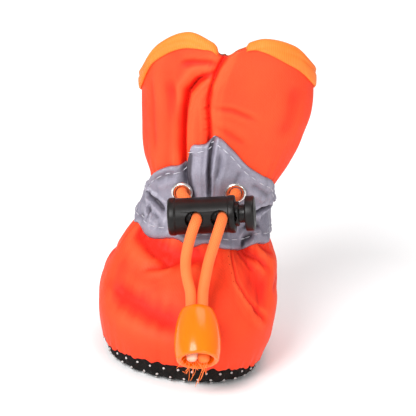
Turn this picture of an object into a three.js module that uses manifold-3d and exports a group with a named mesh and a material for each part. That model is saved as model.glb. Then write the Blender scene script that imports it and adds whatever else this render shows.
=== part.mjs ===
// Soft dog boot with a drawcord ankle band, for a paw about 45 mm wide.
// Millimetres, +Z up, toe towards -Y, +X to the right of someone who faces the toe.
// The origin is on the floor under the middle of the boot.

import * as THREE from "three";
import { mergeVertices } from "three/addons/utils/BufferGeometryUtils.js";
import Module from "manifold-3d";

const wasm = await Module();
wasm.setup();

// Driving sizes of the last and the shell
const FOOT_LENGTH = 56; // toe to heel of the upper
const BALL_WIDTH = 49; // side to side at the ball
const INSTEP_HEIGHT = 33; // floor to the lower edge of the ankle band
const ANKLE_HEIGHT = 47; // floor to where the shaft starts to flare
const HEIGHT = 92; // floor to the top of the collar
const WALL = 1.6; // the two cloth layers of the upper and the seam allowance between them
const GAP = 0.3; // between pieces that meet

// Sole and insole
const SOLE_FLOOR = 2.6; // padded fabric under the paw
const SOLE_EDGE_WALL = 1.5; // padded fabric where it turns up
const SOLE_EDGE_SIDE = 3.6; // how high the edge turns up at the sides
const SOLE_EDGE_TOE = 6.6; // and at the toe
const SOLE_EDGE_HEEL = 4.4; // and at the heel
const SOLE_ROUND = 3.2; // how far the flat tread stays inside the edge
const TOE_SPRING = 2.2; // how much more of it the toe takes
const INSOLE_THICKNESS = 1.2;
const INSOLE_INSET = 5; // from the edge of the sole

// Ankle band and collar binding
const BAND_THICKNESS = 0.8;
const BAND_CORE = 0.3; // the zone that the band is cut from, as shares of the ankle's section
const BAND_REACH = 3;
const BINDING_WIDTH = 5; // of the folded ribbon
const BINDING_THICKNESS = 0.8;

// Drawcord and eyelets
const CORD = 3; // elastic cord
const CORD_CLEARANCE = 0.15; // round the cord in an eyelet
const EYELET_METAL = 0.3; // wall of the throat
const EYELET_RIM = 1.2; // how far the rolled rim stands out round its throat
const EYELET_THICKNESS = 1;
const EYELET_FACING = 2; // how much the pull of the cord turns the rings to the front
const EYELET_BORE = CORD / 2 + CORD_CLEARANCE;
const EYELET_THROAT = EYELET_BORE + EYELET_METAL;
const EYELET_HOLE = EYELET_THROAT + 0.15; // radius of the hole in the band
const EYELET_RADIUS = EYELET_THROAT + EYELET_RIM;
// across: share of half of BALL_WIDTH. rise: share of the way from the instep to the ankle.
const EYELETS = [
  { side: "left", across: -0.255, rise: 0.86 },
  { side: "right", across: 0.312, rise: 1.0 },
];

// Cord lock: a barrel with a sprung plunger, sized from the cord outwards
const PLUNGER_TRAVEL = 2.2;
const PINCH_GAP = 0.3; // between a cord and the plunger
const PLUNGER_RAIL = 1.1; // left above and below a slot
const PLUNGER_WEB = 1.2; // between the two slots
const PLUNGER_TAIL = 1.4; // past the first slot
const PLUNGER_CLEARANCE = 0.2;
const SPRING_ROOM = 1; // the spring when pressed flat
const BARREL_WALL = 1.6;
const BUTTON_OVERHANG = 1.4; // the button is wider than the plunger
const BUTTON_THICKNESS = 2.1;
const BUTTON_SPARE = 0.5; // between the pressed button and the barrel
const NECK_STEP = 0.9; // the neck is thinner than the plunger
const CORD_HOLE_WIDTH = CORD + 2; // along the barrel
const CORD_HOLE_HEIGHT = CORD + 1.6;
const CORD_SHIFT = 0.7; // the spring holds the cords to the button side of the holes
const PLUNGER_RADIUS = CORD_HOLE_HEIGHT / 2 + PLUNGER_RAIL;
const BORE_RADIUS = PLUNGER_RADIUS + PLUNGER_CLEARANCE;
const BARREL_RADIUS = BORE_RADIUS + BARREL_WALL;
const BUTTON_RADIUS = PLUNGER_RADIUS + BUTTON_OVERHANG;
const BUTTON_STANDOFF = PLUNGER_TRAVEL + BUTTON_SPARE; // from the mouth of the barrel to the button
const NECK_RADIUS = PLUNGER_RADIUS - NECK_STEP;
const SLOT_LENGTH = CORD + 2 * PINCH_GAP + PLUNGER_TRAVEL;
const SLOT_START = CORD_SHIFT - CORD / 2 - PINCH_GAP; // from the middle of a cord hole
const CORD_HOLE_PITCH = SLOT_LENGTH + PLUNGER_WEB;
const LAST_HOLE_TO_MOUTH = CORD_HOLE_WIDTH / 2 + BARREL_WALL;
const LAST_HOLE_TO_TAIL = CORD_HOLE_PITCH - SLOT_START + PLUNGER_TAIL;
const BARREL_LENGTH = LAST_HOLE_TO_MOUTH + LAST_HOLE_TO_TAIL + PLUNGER_TRAVEL + SPRING_ROOM + BARREL_WALL;
const BARREL_END = BARREL_LENGTH / 2;
const CORD_HOLES = [BARREL_END - LAST_HOLE_TO_MOUTH - CORD_HOLE_PITCH, BARREL_END - LAST_HOLE_TO_MOUTH];
const LOCK_ACROSS = -0.35; // middle of the barrel from the middle of the boot
const LOCK_STANDOFF = 11.15; // middle of the barrel in front of the band
const LOCK_HEIGHT = 0.757; // share of the way from the instep to the ankle
const LOCK_RISE = THREE.MathUtils.degToRad(11); // the button end stands higher
const LOCK_ROLL = THREE.MathUtils.degToRad(10); // the holes look a little up

// Bell on the cord ends
const BELL_LENGTH = 15;
const BELL_RADIUS = 6.3;
const BELL_WALL = 1.6;
const BELL_MOUTH = [3.6, -38.4, 14.0]; // middle of its open end
const BELL_NARROW = [1.65, -26.9, 23.5]; // middle of its narrow end

// The last in level sections.
// rise: share of the stretch that the table covers. front, wide, back: shares of FOOT_LENGTH from the toe.
// left, right: shares of half of BALL_WIDTH. square: 2 is an ellipse, more is boxier.
const FOOT_SECTIONS = [
  { rise: 0.0, front: 0.03, wide: 0.44, back: 0.965, left: 0.84, right: 0.79, square: 2.2 },
  { rise: 0.12, front: 0.009, wide: 0.44, back: 0.982, left: 0.935, right: 0.865, square: 2.25 },
  { rise: 0.27, front: 0.0, wide: 0.44, back: 0.996, left: 1.016, right: 0.93, square: 2.3 },
  { rise: 0.42, front: 0.018, wide: 0.45, back: 1.0, left: 1.047, right: 0.943, square: 2.3 },
  { rise: 0.56, front: 0.08, wide: 0.46, back: 0.996, left: 1.037, right: 0.939, square: 2.25 },
  { rise: 0.71, front: 0.187, wide: 0.5, back: 0.986, left: 0.976, right: 0.922, square: 2.2 },
  { rise: 0.85, front: 0.289, wide: 0.54, back: 0.971, left: 0.865, right: 0.861, square: 2.15 },
  { rise: 1.0, front: 0.4, wide: 0.59, back: 0.961, left: 0.727, right: 0.739, square: 2.1 },
];
const SHAFT_SECTIONS = [
  { rise: 0.06, front: 0.461, wide: 0.64, back: 0.952, left: 0.649, right: 0.686, square: 2.1 },
  { rise: 0.127, front: 0.504, wide: 0.696, back: 0.946, left: 0.616, right: 0.669, square: 2.1 },
  { rise: 0.203, front: 0.525, wide: 0.723, back: 0.948, left: 0.661, right: 0.735, square: 2.15 },
  { rise: 0.305, front: 0.532, wide: 0.732, back: 0.957, left: 0.759, right: 0.841, square: 2.2 },
  { rise: 0.44, front: 0.536, wide: 0.732, back: 0.961, left: 0.812, right: 0.963, square: 2.2 },
  { rise: 0.6, front: 0.539, wide: 0.732, back: 0.957, left: 0.869, right: 1.05, square: 2.2 },
  { rise: 0.763, front: 0.546, wide: 0.732, back: 0.946, left: 0.906, right: 1.02, square: 2.2 },
  { rise: 1.0, front: 0.557, wide: 0.732, back: 0.932, left: 0.86, right: 0.95, square: 2.2 },
];

// Height of the collar round the boot, as a share of HEIGHT. turn: degrees from the toe, plus to the right.
const COLLAR = [
  { turn: -180, height: 0.832 },
  { turn: -140, height: 0.812 },
  { turn: -104, height: 0.8 },
  { turn: -76, height: 0.842 },
  { turn: -54, height: 0.929 },
  { turn: -28, height: 0.983 },
  { turn: -8, height: 0.965 },
  { turn: 0, height: 0.94 },
  { turn: 8, height: 0.968 },
  { turn: 25, height: 0.996 },
  { turn: 51, height: 0.975 },
  { turn: 78, height: 0.918 },
  { turn: 120, height: 0.853 },
  { turn: 180, height: 0.832 },
];

// Upper edge of the ankle band round the boot, as a share of the shaft's height above its lower edge.
const BAND_TOP = [
  { turn: -180, height: 0.2 },
  { turn: -90, height: 0.15 },
  { turn: -45, height: 0.26 },
  { turn: -18, height: 0.41 },
  { turn: -1, height: 0.5 },
  { turn: 14, height: 0.42 },
  { turn: 45, height: 0.29 },
  { turn: 90, height: 0.19 },
  { turn: 180, height: 0.2 },
];

// Folds and seams pressed into the shell, each along a line from one place to another.
// turn in degrees, rise as a share of HEIGHT, depth and width as shares of BALL_WIDTH, plus is a ridge.
const FOLDS = [
  { name: "shaft seam", turn: [-1, 0], rise: [0.44, 1.0], depth: -0.04, width: 0.035 },
  { name: "left shaft trough", turn: [-13, -24], rise: [0.52, 0.82], depth: -0.045, width: 0.045 },
  { name: "roll beside the seam", turn: [-6, -11], rise: [0.52, 0.8], depth: 0.022, width: 0.05 },
  { name: "left shaft ridge", turn: [-46, -50], rise: [0.5, 0.88], depth: 0.012, width: 0.09 },
  { name: "right shaft swell", turn: [42, 40], rise: [0.55, 0.9], depth: 0.02, width: 0.16 },
  { name: "fold below the band", turn: [-62, -16], rise: [0.34, 0.31], depth: -0.03, width: 0.05 },
  { name: "trough on the vamp", turn: [-68, -12], rise: [0.14, 0.165], depth: -0.03, width: 0.08 },
  { name: "vamp seam", turn: [22, 30], rise: [0.33, 0.12], depth: -0.012, width: 0.03 },
  { name: "heel slump", turn: [150, 205], rise: [0.33, 0.33], depth: -0.03, width: 0.07 },
  { name: "back shaft fold", turn: [168, 176], rise: [0.5, 0.8], depth: -0.03, width: 0.07 },
];
const FOLD_ROUND = 0.9; // half of BALL_WIDTH times this turns an angle into a length round the boot

// How finely the shell is cut
const COLUMNS = 46;
const FOOT_STEPS = 7;
const ANKLE_STEPS = 6;
const SHAFT_STEPS = 8;
const COLUMN_CROWDING = 0.35; // columns stand closer together at the front

// Value of one column of a table, on a smooth curve through its rows
function along(rows, place, value, at) {
  const last = rows.length - 1;
  const x = THREE.MathUtils.clamp(at, rows[0][place], rows[last][place]);
  let i = 0;
  while (i < last - 1 && x > rows[i + 1][place]) i += 1;
  const slope = (k) => {
    const a = rows[Math.max(k - 1, 0)];
    const b = rows[Math.min(k + 1, last)];
    return (b[value] - a[value]) / (b[place] - a[place]);
  };
  const [p, q] = [rows[i], rows[i + 1]];
  const span = q[place] - p[place];
  const s = (x - p[place]) / span;
  const start = (1 + 2 * s) * (1 - s) ** 2 * p[value] + s * (1 - s) ** 2 * span * slope(i);
  const end = s ** 2 * (3 - 2 * s) * q[value] + s ** 2 * (s - 1) * span * slope(i + 1);
  return start + end;
}

// The two section tables as one, with heights and lengths in millimetres
const halfWidth = BALL_WIDTH / 2;
const toMillimetres = (row, low, high) => ({
  z: low + row.rise * (high - low),
  front: (row.front - 0.5) * FOOT_LENGTH,
  wide: (row.wide - 0.5) * FOOT_LENGTH,
  back: (row.back - 0.5) * FOOT_LENGTH,
  left: row.left * halfWidth,
  right: row.right * halfWidth,
  square: row.square,
});
const SECTIONS = [
  ...FOOT_SECTIONS.map((row) => toMillimetres(row, 0, INSTEP_HEIGHT)),
  ...SHAFT_SECTIONS.map((row) => toMillimetres(row, INSTEP_HEIGHT, HEIGHT)),
];

// How far the folds push the shell out at an angle (radians from the toe) and a height
function foldPush(turn, z) {
  const round = halfWidth * FOLD_ROUND;
  let push = 0;
  for (const fold of FOLDS) {
    const [a, b] = fold.turn.map((degrees) => THREE.MathUtils.degToRad(degrees) * round);
    const [low, high] = fold.rise.map((share) => share * HEIGHT);
    const middle = (a + b) / 2 / round;
    const near = turn + 2 * Math.PI * Math.round((middle - turn) / (2 * Math.PI));
    const line = new THREE.Vector2(b - a, high - low);
    const place = new THREE.Vector2(near * round - a, z - low);
    const share = THREE.MathUtils.clamp(place.dot(line) / line.lengthSq(), 0, 1);
    const off = place.distanceTo(line.clone().multiplyScalar(share));
    push += fold.depth * BALL_WIDTH * Math.exp(-((off / (fold.width * BALL_WIDTH)) ** 2));
  }
  return push;
}

// A point of the last: one superellipse a section, its widest place set by the table
function lastPoint(turn, z) {
  const row = {};
  for (const name of ["front", "wide", "back", "left", "right", "square"]) {
    row[name] = along(SECTIONS, "z", name, z);
  }
  const [across, ahead] = [Math.sin(turn), Math.cos(turn)];
  const side = across < 0 ? row.left : row.right;
  const reach = ahead > 0 ? row.wide - row.front : row.back - row.wide;
  const power = 2 / row.square;
  const x = Math.sign(across) * side * Math.abs(across) ** power;
  const y = row.wide - Math.sign(ahead) * reach * Math.abs(ahead) ** power;
  return new THREE.Vector3(x, y, z);
}

// The way out of the last, from points close by
const NEAR_TURN = 0.02;
const NEAR_HEIGHT = 0.4;
function lastNormal(turn, z) {
  const round = lastPoint(turn + NEAR_TURN, z).sub(lastPoint(turn - NEAR_TURN, z));
  const up = lastPoint(turn, z + NEAR_HEIGHT).sub(lastPoint(turn, z - NEAR_HEIGHT));
  return round.cross(up).normalize();
}

// A point of the shell's outer face, or of a face that lies off it by a distance
function shellPoint(turn, z, off = 0) {
  return lastPoint(turn, z).addScaledVector(lastNormal(turn, z), foldPush(turn, z) + off);
}

// The columns round the boot, from the toe to the right and round
const TURNS = Array.from({ length: COLUMNS }, (_, i) => {
  const even = (2 * Math.PI * i) / COLUMNS;
  return even - COLUMN_CROWDING * Math.sin(even);
});
const signedDegrees = (turn) => {
  const degrees = THREE.MathUtils.radToDeg(turn);
  return degrees > 180 ? degrees - 360 : degrees;
};

// Heights round the boot
const hemHeight = (turn) => {
  const end = Math.cos(turn) > 0 ? SOLE_EDGE_TOE : SOLE_EDGE_HEEL;
  return SOLE_EDGE_SIDE + (end - SOLE_EDGE_SIDE) * Math.cos(turn) ** 2;
};
const bindingTop = (turn) => HEIGHT * along(COLLAR, "turn", "height", signedDegrees(turn));
const rimHeight = (turn) => bindingTop(turn) - 2 * GAP - BINDING_THICKNESS;
const bandTop = (turn) =>
  INSTEP_HEIGHT + (HEIGHT - INSTEP_HEIGHT) * along(BAND_TOP, "turn", "height", signedDegrees(turn));

// Closed solid from rings of points: joined last to first, or closed by a point at each end
function ringSolid(rings, ends = null) {
  const count = rings[0].length;
  const points = rings.flat();
  const faces = [];
  const pairs = ends ? rings.length - 1 : rings.length;
  for (let k = 0; k < pairs; k += 1) {
    const [low, high] = [k * count, ((k + 1) % rings.length) * count];
    for (let i = 0; i < count; i += 1) {
      const j = (i + 1) % count;
      faces.push([low + i, low + j, high + j], [low + i, high + j, high + i]);
    }
  }
  if (ends) {
    const first = points.push(ends[0]) - 1;
    const last = points.push(ends[1]) - 1;
    const top = (rings.length - 1) * count;
    for (let i = 0; i < count; i += 1) {
      const j = (i + 1) % count;
      faces.push([first, j, i], [last, top + i, top + j]);
    }
  }
  let volume = 0;
  for (const [a, b, c] of faces) volume += points[a].dot(points[b].clone().cross(points[c]));
  const index = faces.flatMap(([a, b, c]) => (volume > 0 ? [a, b, c] : [a, c, b]));
  const geometry = new THREE.BufferGeometry().setFromPoints(points);
  geometry.setIndex(index);
  return geometry;
}

// Boolean work on closed geometries
function toSolid(geometry) {
  const bare = geometry.clone();
  bare.deleteAttribute("normal");
  bare.deleteAttribute("uv");
  const merged = mergeVertices(bare, 1e-4);
  const vertProperties = merged.attributes.position.array;
  return new wasm.Manifold(
    new wasm.Mesh({ numProp: 3, vertProperties, triVerts: new Uint32Array(merged.index.array) }),
  );
}
function toGeometry(solid) {
  const { vertProperties, triVerts } = solid.getMesh();
  const geometry = new THREE.BufferGeometry();
  geometry.setAttribute("position", new THREE.BufferAttribute(vertProperties, 3));
  geometry.setIndex(new THREE.BufferAttribute(triVerts, 1));
  return geometry;
}

// Levels of the shell from the sole's edge to the collar, each a height round the boot
const hem = (turn) => hemHeight(turn) + GAP;
function climb(steps, from, to) {
  const shares = Array.from({ length: steps }, (_, i) => i / steps);
  return shares.map((share) => (turn) => THREE.MathUtils.lerp(from(turn), to(turn), share));
}
const LEVELS = [
  ...climb(FOOT_STEPS, hem, () => INSTEP_HEIGHT),
  ...climb(ANKLE_STEPS, () => INSTEP_HEIGHT, () => ANKLE_HEIGHT),
  ...climb(SHAFT_STEPS, () => ANKLE_HEIGHT, rimHeight),
  rimHeight,
];
const face = (off) => LEVELS.map((level) => TURNS.map((turn) => shellPoint(turn, level(turn), off)));

// Upper: one hollow wall from the sole's edge to the collar
function upperGeometry() {
  return ringSolid([...face(0), ...face(-WALL).reverse()]);
}

// The shell's outer form, filled, at a distance off its face
function filledForm(off) {
  const middle = lastPoint(Math.PI / 2, ANKLE_HEIGHT).y;
  return ringSolid(face(off), [
    new THREE.Vector3(0, middle, hem(0)),
    new THREE.Vector3(0, middle, rimHeight(0)),
  ]);
}

// Sole: a padded tray whose edge meets the upper's lower edge
const soleInset = (turn) => SOLE_ROUND + TOE_SPRING * Math.max(Math.cos(turn), 0) ** 3;
function soleRing(inset, height) {
  return TURNS.map((turn) => {
    const edge = shellPoint(turn, hemHeight(turn));
    const inward = new THREE.Vector3(-edge.x, lastPoint(Math.PI / 2, 0).y - edge.y, 0).normalize();
    edge.addScaledVector(inward, inset(turn));
    edge.z = height(turn);
    return edge;
  });
}
const SOLE_EDGE_CURVE = [
  { inset: 0.45, height: 0.12 },
  { inset: 0.12, height: 0.45 },
  { inset: 0.0, height: 1.0 },
];
function soleGeometry() {
  const rings = [soleRing(soleInset, () => 0)];
  for (const step of SOLE_EDGE_CURVE) {
    rings.push(
      soleRing(
        (turn) => soleInset(turn) * step.inset,
        (turn) => hemHeight(turn) * step.height,
      ),
    );
  }
  rings.push(soleRing(() => SOLE_EDGE_WALL, hemHeight));
  rings.push(soleRing((turn) => SOLE_EDGE_WALL + soleInset(turn) * 0.3, () => SOLE_FLOOR));
  const middle = lastPoint(Math.PI / 2, 0).y;
  return ringSolid(rings, [
    new THREE.Vector3(0, middle, 0),
    new THREE.Vector3(0, middle, SOLE_FLOOR),
  ]);
}

// Insole: a thin board on the sole's floor
function insoleGeometry() {
  const bottom = SOLE_FLOOR + GAP;
  const top = bottom + INSOLE_THICKNESS;
  const inset = (turn) => INSOLE_INSET + soleInset(turn) - SOLE_ROUND;
  const middle = lastPoint(Math.PI / 2, 0).y;
  const rings = [soleRing(inset, () => bottom), soleRing(inset, () => top)];
  return ringSolid(rings, [new THREE.Vector3(0, middle, bottom), new THREE.Vector3(0, middle, top)]);
}

// Ankle band: cut between two larger forms of the shell, with the eyelets' holes
function bandGeometry() {
  const middle = lastPoint(Math.PI / 2, ANKLE_HEIGHT);
  const ring = (grow, height) =>
    TURNS.map((turn) => {
      const point = lastPoint(turn, ANKLE_HEIGHT);
      return new THREE.Vector3(point.x * grow, middle.y + (point.y - middle.y) * grow, height(turn));
    });
  const base = () => INSTEP_HEIGHT;
  const bottom = [ring(BAND_CORE, base), ring(BAND_REACH, base)];
  const zone = [...bottom, ring(BAND_REACH, bandTop), ring(BAND_CORE, bandTop)];
  const grown = toSolid(filledForm(GAP + BAND_THICKNESS));
  let band = grown.subtract(toSolid(filledForm(GAP))).intersect(toSolid(ringSolid(zone)));
  for (const eyelet of EYELETS) {
    const drill = new THREE.CylinderGeometry(EYELET_HOLE, EYELET_HOLE, 2 * EYELET_RADIUS, 20);
    drill.rotateX(Math.PI / 2).applyMatrix4(eyeletPlace(eyelet));
    band = band.subtract(toSolid(drill));
  }
  return toGeometry(band);
}

// Collar binding: a ribbon folded over the rim
function bindingGeometry() {
  const skin = GAP + BINDING_THICKNESS;
  const fold = 2 * GAP; // more room over the rim, which climbs steeply at the sides
  const profile = [
    { off: skin, drop: -BINDING_WIDTH },
    { off: skin, drop: -BINDING_WIDTH / 2 },
    { off: skin, drop: 0 },
    { off: -WALL / 2, drop: fold + BINDING_THICKNESS },
    { off: -WALL - skin, drop: 0 },
    { off: -WALL - skin, drop: -BINDING_WIDTH },
    { off: -WALL - GAP, drop: -BINDING_WIDTH },
    { off: -WALL - GAP, drop: fold },
    { off: GAP, drop: fold },
    { off: GAP, drop: -BINDING_WIDTH / 2 },
    { off: GAP, drop: -BINDING_WIDTH },
  ];
  return ringSolid(
    profile.map(({ off, drop }) => TURNS.map((turn) => shellPoint(turn, rimHeight(turn) + drop, off))),
  );
}

// Where an eyelet sits: on the highest cloth under its rim, its axis out of the shell
function eyeletSeat({ across, rise }) {
  const height = THREE.MathUtils.lerp(INSTEP_HEIGHT, ANKLE_HEIGHT, rise);
  let turn = 0;
  for (let i = 0; i < 40; i += 1) turn += across - shellPoint(turn, height).x / halfWidth;
  const out = lastNormal(turn, height).add(new THREE.Vector3(0, -EYELET_FACING, 0)).normalize();
  const middle = shellPoint(turn, height, GAP + BAND_THICKNESS);
  const rim = EYELET_RADIUS;
  let lift = 0;
  for (let i = 0; i < 16; i += 1) {
    const way = (2 * Math.PI * i) / 16;
    const near = shellPoint(
      turn + (Math.cos(way) * rim) / lastPoint(Math.PI / 2, height).x,
      height + Math.sin(way) * rim,
      GAP + BAND_THICKNESS,
    );
    lift = Math.max(lift, near.sub(middle).dot(out));
  }
  return { out, middle, lift };
}
function eyeletPlace(eyelet) {
  const { out, middle, lift } = eyeletSeat(eyelet);
  const turnTo = new THREE.Quaternion().setFromUnitVectors(new THREE.Vector3(0, 0, 1), out);
  const seat = middle.clone().addScaledVector(out, lift);
  return new THREE.Matrix4().compose(seat, turnTo, new THREE.Vector3(1, 1, 1));
}

// Eyelet: a rolled ring with a short throat down the band's hole
function eyeletGeometry(eyelet) {
  const [bore, throat, rim] = [EYELET_BORE, EYELET_THROAT, EYELET_RADIUS];
  const foot = -eyeletSeat(eyelet).lift - BAND_THICKNESS / 2;
  const profile = [
    [bore, foot],
    [throat, foot],
    [throat, GAP],
    [rim, GAP],
    [rim - 0.2, GAP + EYELET_THICKNESS * 0.6],
    [(throat + rim) / 2, GAP + EYELET_THICKNESS],
    [bore + 0.1, GAP + EYELET_THICKNESS * 0.6],
    [bore, foot],
  ];
  const ring = new THREE.LatheGeometry(
    profile.map(([r, h]) => new THREE.Vector2(r, h)),
    20,
  );
  return ring.rotateX(Math.PI / 2);
}

// Turned solid along +X from a profile of radius and place
function turned(profile, segments) {
  const lathe = new THREE.LatheGeometry(
    profile.map(([radius, place]) => new THREE.Vector2(radius, place)),
    segments,
  );
  return lathe.rotateZ(-Math.PI / 2);
}

// Slot with round ends along Y, from one place to another along X
function slot(from, to, height, depth = BARREL_RADIUS * 3) {
  const half = height / 2;
  const [a, b] = [Math.min(from + half, (from + to) / 2), Math.max(to - half, (from + to) / 2)];
  const outline = new THREE.Shape();
  outline.absarc(b, 0, half, -Math.PI / 2, Math.PI / 2);
  outline.absarc(a, 0, half, Math.PI / 2, (3 * Math.PI) / 2);
  const bar = new THREE.ExtrudeGeometry(outline, { depth, bevelEnabled: false, curveSegments: 6 });
  return bar.translate(0, 0, -depth / 2).rotateX(Math.PI / 2);
}

// Cord lock barrel: blind bore from the button end, two cord holes across
const ROUNDING = 0.6;
const LOCK_SEGMENTS = 22;
function barrelGeometry() {
  const body = turned(
    [
      [0, -BARREL_END],
      [BARREL_RADIUS - ROUNDING, -BARREL_END],
      [BARREL_RADIUS, -BARREL_END + ROUNDING],
      [BARREL_RADIUS, BARREL_END - ROUNDING],
      [BARREL_RADIUS - ROUNDING, BARREL_END],
      [BORE_RADIUS, BARREL_END],
      [BORE_RADIUS, -BARREL_END + BARREL_WALL],
      [0, -BARREL_END + BARREL_WALL],
    ],
    LOCK_SEGMENTS,
  );
  let barrel = toSolid(body);
  for (const hole of CORD_HOLES) {
    const from = hole - CORD_HOLE_WIDTH / 2;
    barrel = barrel.subtract(toSolid(slot(from, from + CORD_HOLE_WIDTH, CORD_HOLE_HEIGHT)));
  }
  return toGeometry(barrel);
}

// Cord lock plunger: slotted rod, neck and button, long enough to clear the cords when pressed
function plungerGeometry() {
  const slots = CORD_HOLES.map((hole) => [hole + SLOT_START, hole + SLOT_START + SLOT_LENGTH]);
  const tail = slots[0][0] - PLUNGER_TAIL;
  const shoulder = slots[1][1] + 0.4;
  const button = BARREL_END + BUTTON_STANDOFF;
  const rod = turned(
    [
      [0, tail],
      [PLUNGER_RADIUS, tail],
      [PLUNGER_RADIUS, shoulder],
      [NECK_RADIUS, shoulder],
      [NECK_RADIUS, button],
      [BUTTON_RADIUS - ROUNDING / 2, button],
      [BUTTON_RADIUS, button + ROUNDING / 2],
      [BUTTON_RADIUS, button + BUTTON_THICKNESS - ROUNDING],
      [BUTTON_RADIUS - ROUNDING, button + BUTTON_THICKNESS],
      [0, button + BUTTON_THICKNESS],
    ],
    LOCK_SEGMENTS,
  );
  let plunger = toSolid(rod);
  for (const [from, to] of slots) plunger = plunger.subtract(toSolid(slot(from, to, CORD_HOLE_HEIGHT)));
  return toGeometry(plunger);
}

// Drawcords: hand-placed routes from the eyelets through the lock to the bell
const CORD_ROUTES = {
  drawcord_left: [
    [-6.5, 0.7, 45.2],
    [-6.6, -1.1, 45.2],
    [-5.4, -2.3, 44.4],
    [-3.9, -3.0, 43.3],
    [-2.6, -4.0, 42.6],
    [-1.8, -5.3, 42.5],
    [-1.5, -7.2, 42.9],
    [-1.5, -10.0, 43.4],
    [-1.6, -12.6, 43.8],
    [-1.7, -15.2, 44.1],
    [-2.1, -17.1, 43.2],
    [-2.6, -18.4, 40.9],
    [-3.0, -19.2, 37.7],
    [-3.1, -19.7, 34.2],
    [-2.6, -20.3, 31.0],
    [-1.6, -21.6, 28.3],
    [-0.7, -23.3, 26.5],
    [-0.2, -25.6, 24.5],
    [0.3, -28.7, 22.0],
    [1.0, -32.6, 18.8],
    [1.7, -36.3, 15.7],
  ],
  drawcord_right: [
    [7.9, 0.6, 47.0],
    [8.0, -1.1, 47.0],
    [7.3, -2.2, 46.1],
    [6.6, -2.9, 44.9],
    [5.8, -3.9, 44.0],
    [5.5, -5.3, 43.9],
    [5.4, -7.2, 44.2],
    [5.3, -10.0, 44.7],
    [5.3, -12.6, 45.1],
    [5.2, -15.2, 45.4],
    [4.9, -17.1, 44.5],
    [4.4, -18.4, 42.1],
    [3.8, -19.2, 38.7],
    [3.2, -19.7, 35.0],
    [2.9, -20.3, 31.6],
    [2.7, -21.6, 28.6],
    [2.7, -23.3, 26.6],
    [3.0, -25.6, 24.6],
    [3.5, -28.7, 22.1],
    [4.1, -32.6, 18.9],
    [4.8, -36.3, 15.8],
  ],
};
const CORD_SIDES = 8;
const CORD_STEPS = 28;
function cordGeometry(points) {
  const route = new THREE.CatmullRomCurve3(
    points.map(([x, y, z]) => new THREE.Vector3(x, y, z)),
    false,
    "centripetal",
  );
  const section = new THREE.Shape();
  for (let i = 0; i < CORD_SIDES; i += 1) {
    const turn = (2 * Math.PI * i) / CORD_SIDES;
    const [x, y] = [(Math.cos(turn) * CORD) / 2, (Math.sin(turn) * CORD) / 2];
    if (i === 0) section.moveTo(x, y);
    else section.lineTo(x, y);
  }
  return new THREE.ExtrudeGeometry(section, { steps: CORD_STEPS, extrudePath: route });
}

// Bell: moulded cord end, open at its wide mouth, with an oval throat for the two cords
// radius: share of BELL_RADIUS. reach: share of BELL_LENGTH from the narrow end.
const BELL_PROFILE = [
  { radius: 0.66, reach: 0.0 },
  { radius: 0.76, reach: 0.07 },
  { radius: 0.89, reach: 0.3 },
  { radius: 0.98, reach: 0.55 },
  { radius: 1.0, reach: 0.78 },
  { radius: 0.95, reach: 1.0 },
];
const BELL_CAVITY = 0.35; // where the hollow starts, as a share of BELL_LENGTH
function bellGeometry() {
  const outside = BELL_PROFILE.map(({ radius, reach }) => [radius * BELL_RADIUS, reach * BELL_LENGTH]);
  const lip = outside[outside.length - 1][0] - BELL_WALL;
  const profile = [
    [0, 0],
    ...outside,
    [lip, BELL_LENGTH],
    [lip, BELL_CAVITY * BELL_LENGTH + BELL_WALL],
    [0, BELL_CAVITY * BELL_LENGTH],
  ];
  const room = 2 * PINCH_GAP;
  const throat = slot(-CORD - room, CORD + room, CORD + 2 * room, BELL_LENGTH).rotateZ(-Math.PI / 2);
  return toGeometry(toSolid(turned(profile, 24)).subtract(toSolid(throat)));
}

// Materials
const finish = (color, roughness, metalness = 0) =>
  new THREE.MeshStandardMaterial({ color, roughness, metalness });
const FINISH = {
  shell: finish(0xf8502e, 0.75),
  binding: finish(0xfba04e, 0.7),
  band: finish(0x85818d, 0.55),
  sole: finish(0x2f2926, 0.85),
  insole: finish(0x3a3634, 0.9),
  metal: finish(0xc8c8cc, 0.3, 1),
  lock: finish(0x262120, 0.5),
  cord: finish(0xfb8a4c, 0.8),
  bell: finish(0xfb8c12, 0.25),
};

// The assembly
const boot = new THREE.Group();
function place(name, geometry, material, parent = boot) {
  const mesh = new THREE.Mesh(geometry, material);
  mesh.name = name;
  parent.add(mesh);
  return mesh;
}

place("sole", soleGeometry(), FINISH.sole);
place("insole", insoleGeometry(), FINISH.insole);
place("upper", upperGeometry(), FINISH.shell);
place("ankle_band", bandGeometry(), FINISH.band);
place("collar_binding", bindingGeometry(), FINISH.binding);
for (const eyelet of EYELETS) {
  place(`eyelet_${eyelet.side}`, eyeletGeometry(eyelet), FINISH.metal).applyMatrix4(eyeletPlace(eyelet));
}

const lock = new THREE.Group();
const lockHeight = THREE.MathUtils.lerp(INSTEP_HEIGHT, ANKLE_HEIGHT, LOCK_HEIGHT);
lock.position.set(LOCK_ACROSS, lastPoint(0, lockHeight).y - LOCK_STANDOFF, lockHeight);
lock.rotation.set(-LOCK_ROLL, -LOCK_RISE, 0, "YXZ");
place("cord_lock_barrel", barrelGeometry(), FINISH.lock, lock);
place("cord_lock_plunger", plungerGeometry(), FINISH.lock, lock);
boot.add(lock);

for (const [name, points] of Object.entries(CORD_ROUTES)) {
  place(name, cordGeometry(points), FINISH.cord);
}
const bell = place("cord_end_bell", bellGeometry(), FINISH.bell);
const bellAxis = new THREE.Vector3(...BELL_MOUTH).sub(new THREE.Vector3(...BELL_NARROW)).normalize();
const bellSide = new THREE.Vector3(1, 0, 0).addScaledVector(bellAxis, -bellAxis.x).normalize();
const bellFrame = new THREE.Matrix4().makeBasis(bellAxis, bellSide, bellAxis.clone().cross(bellSide));
bell.applyMatrix4(bellFrame.setPosition(...BELL_NARROW));

export default boot;
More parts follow.
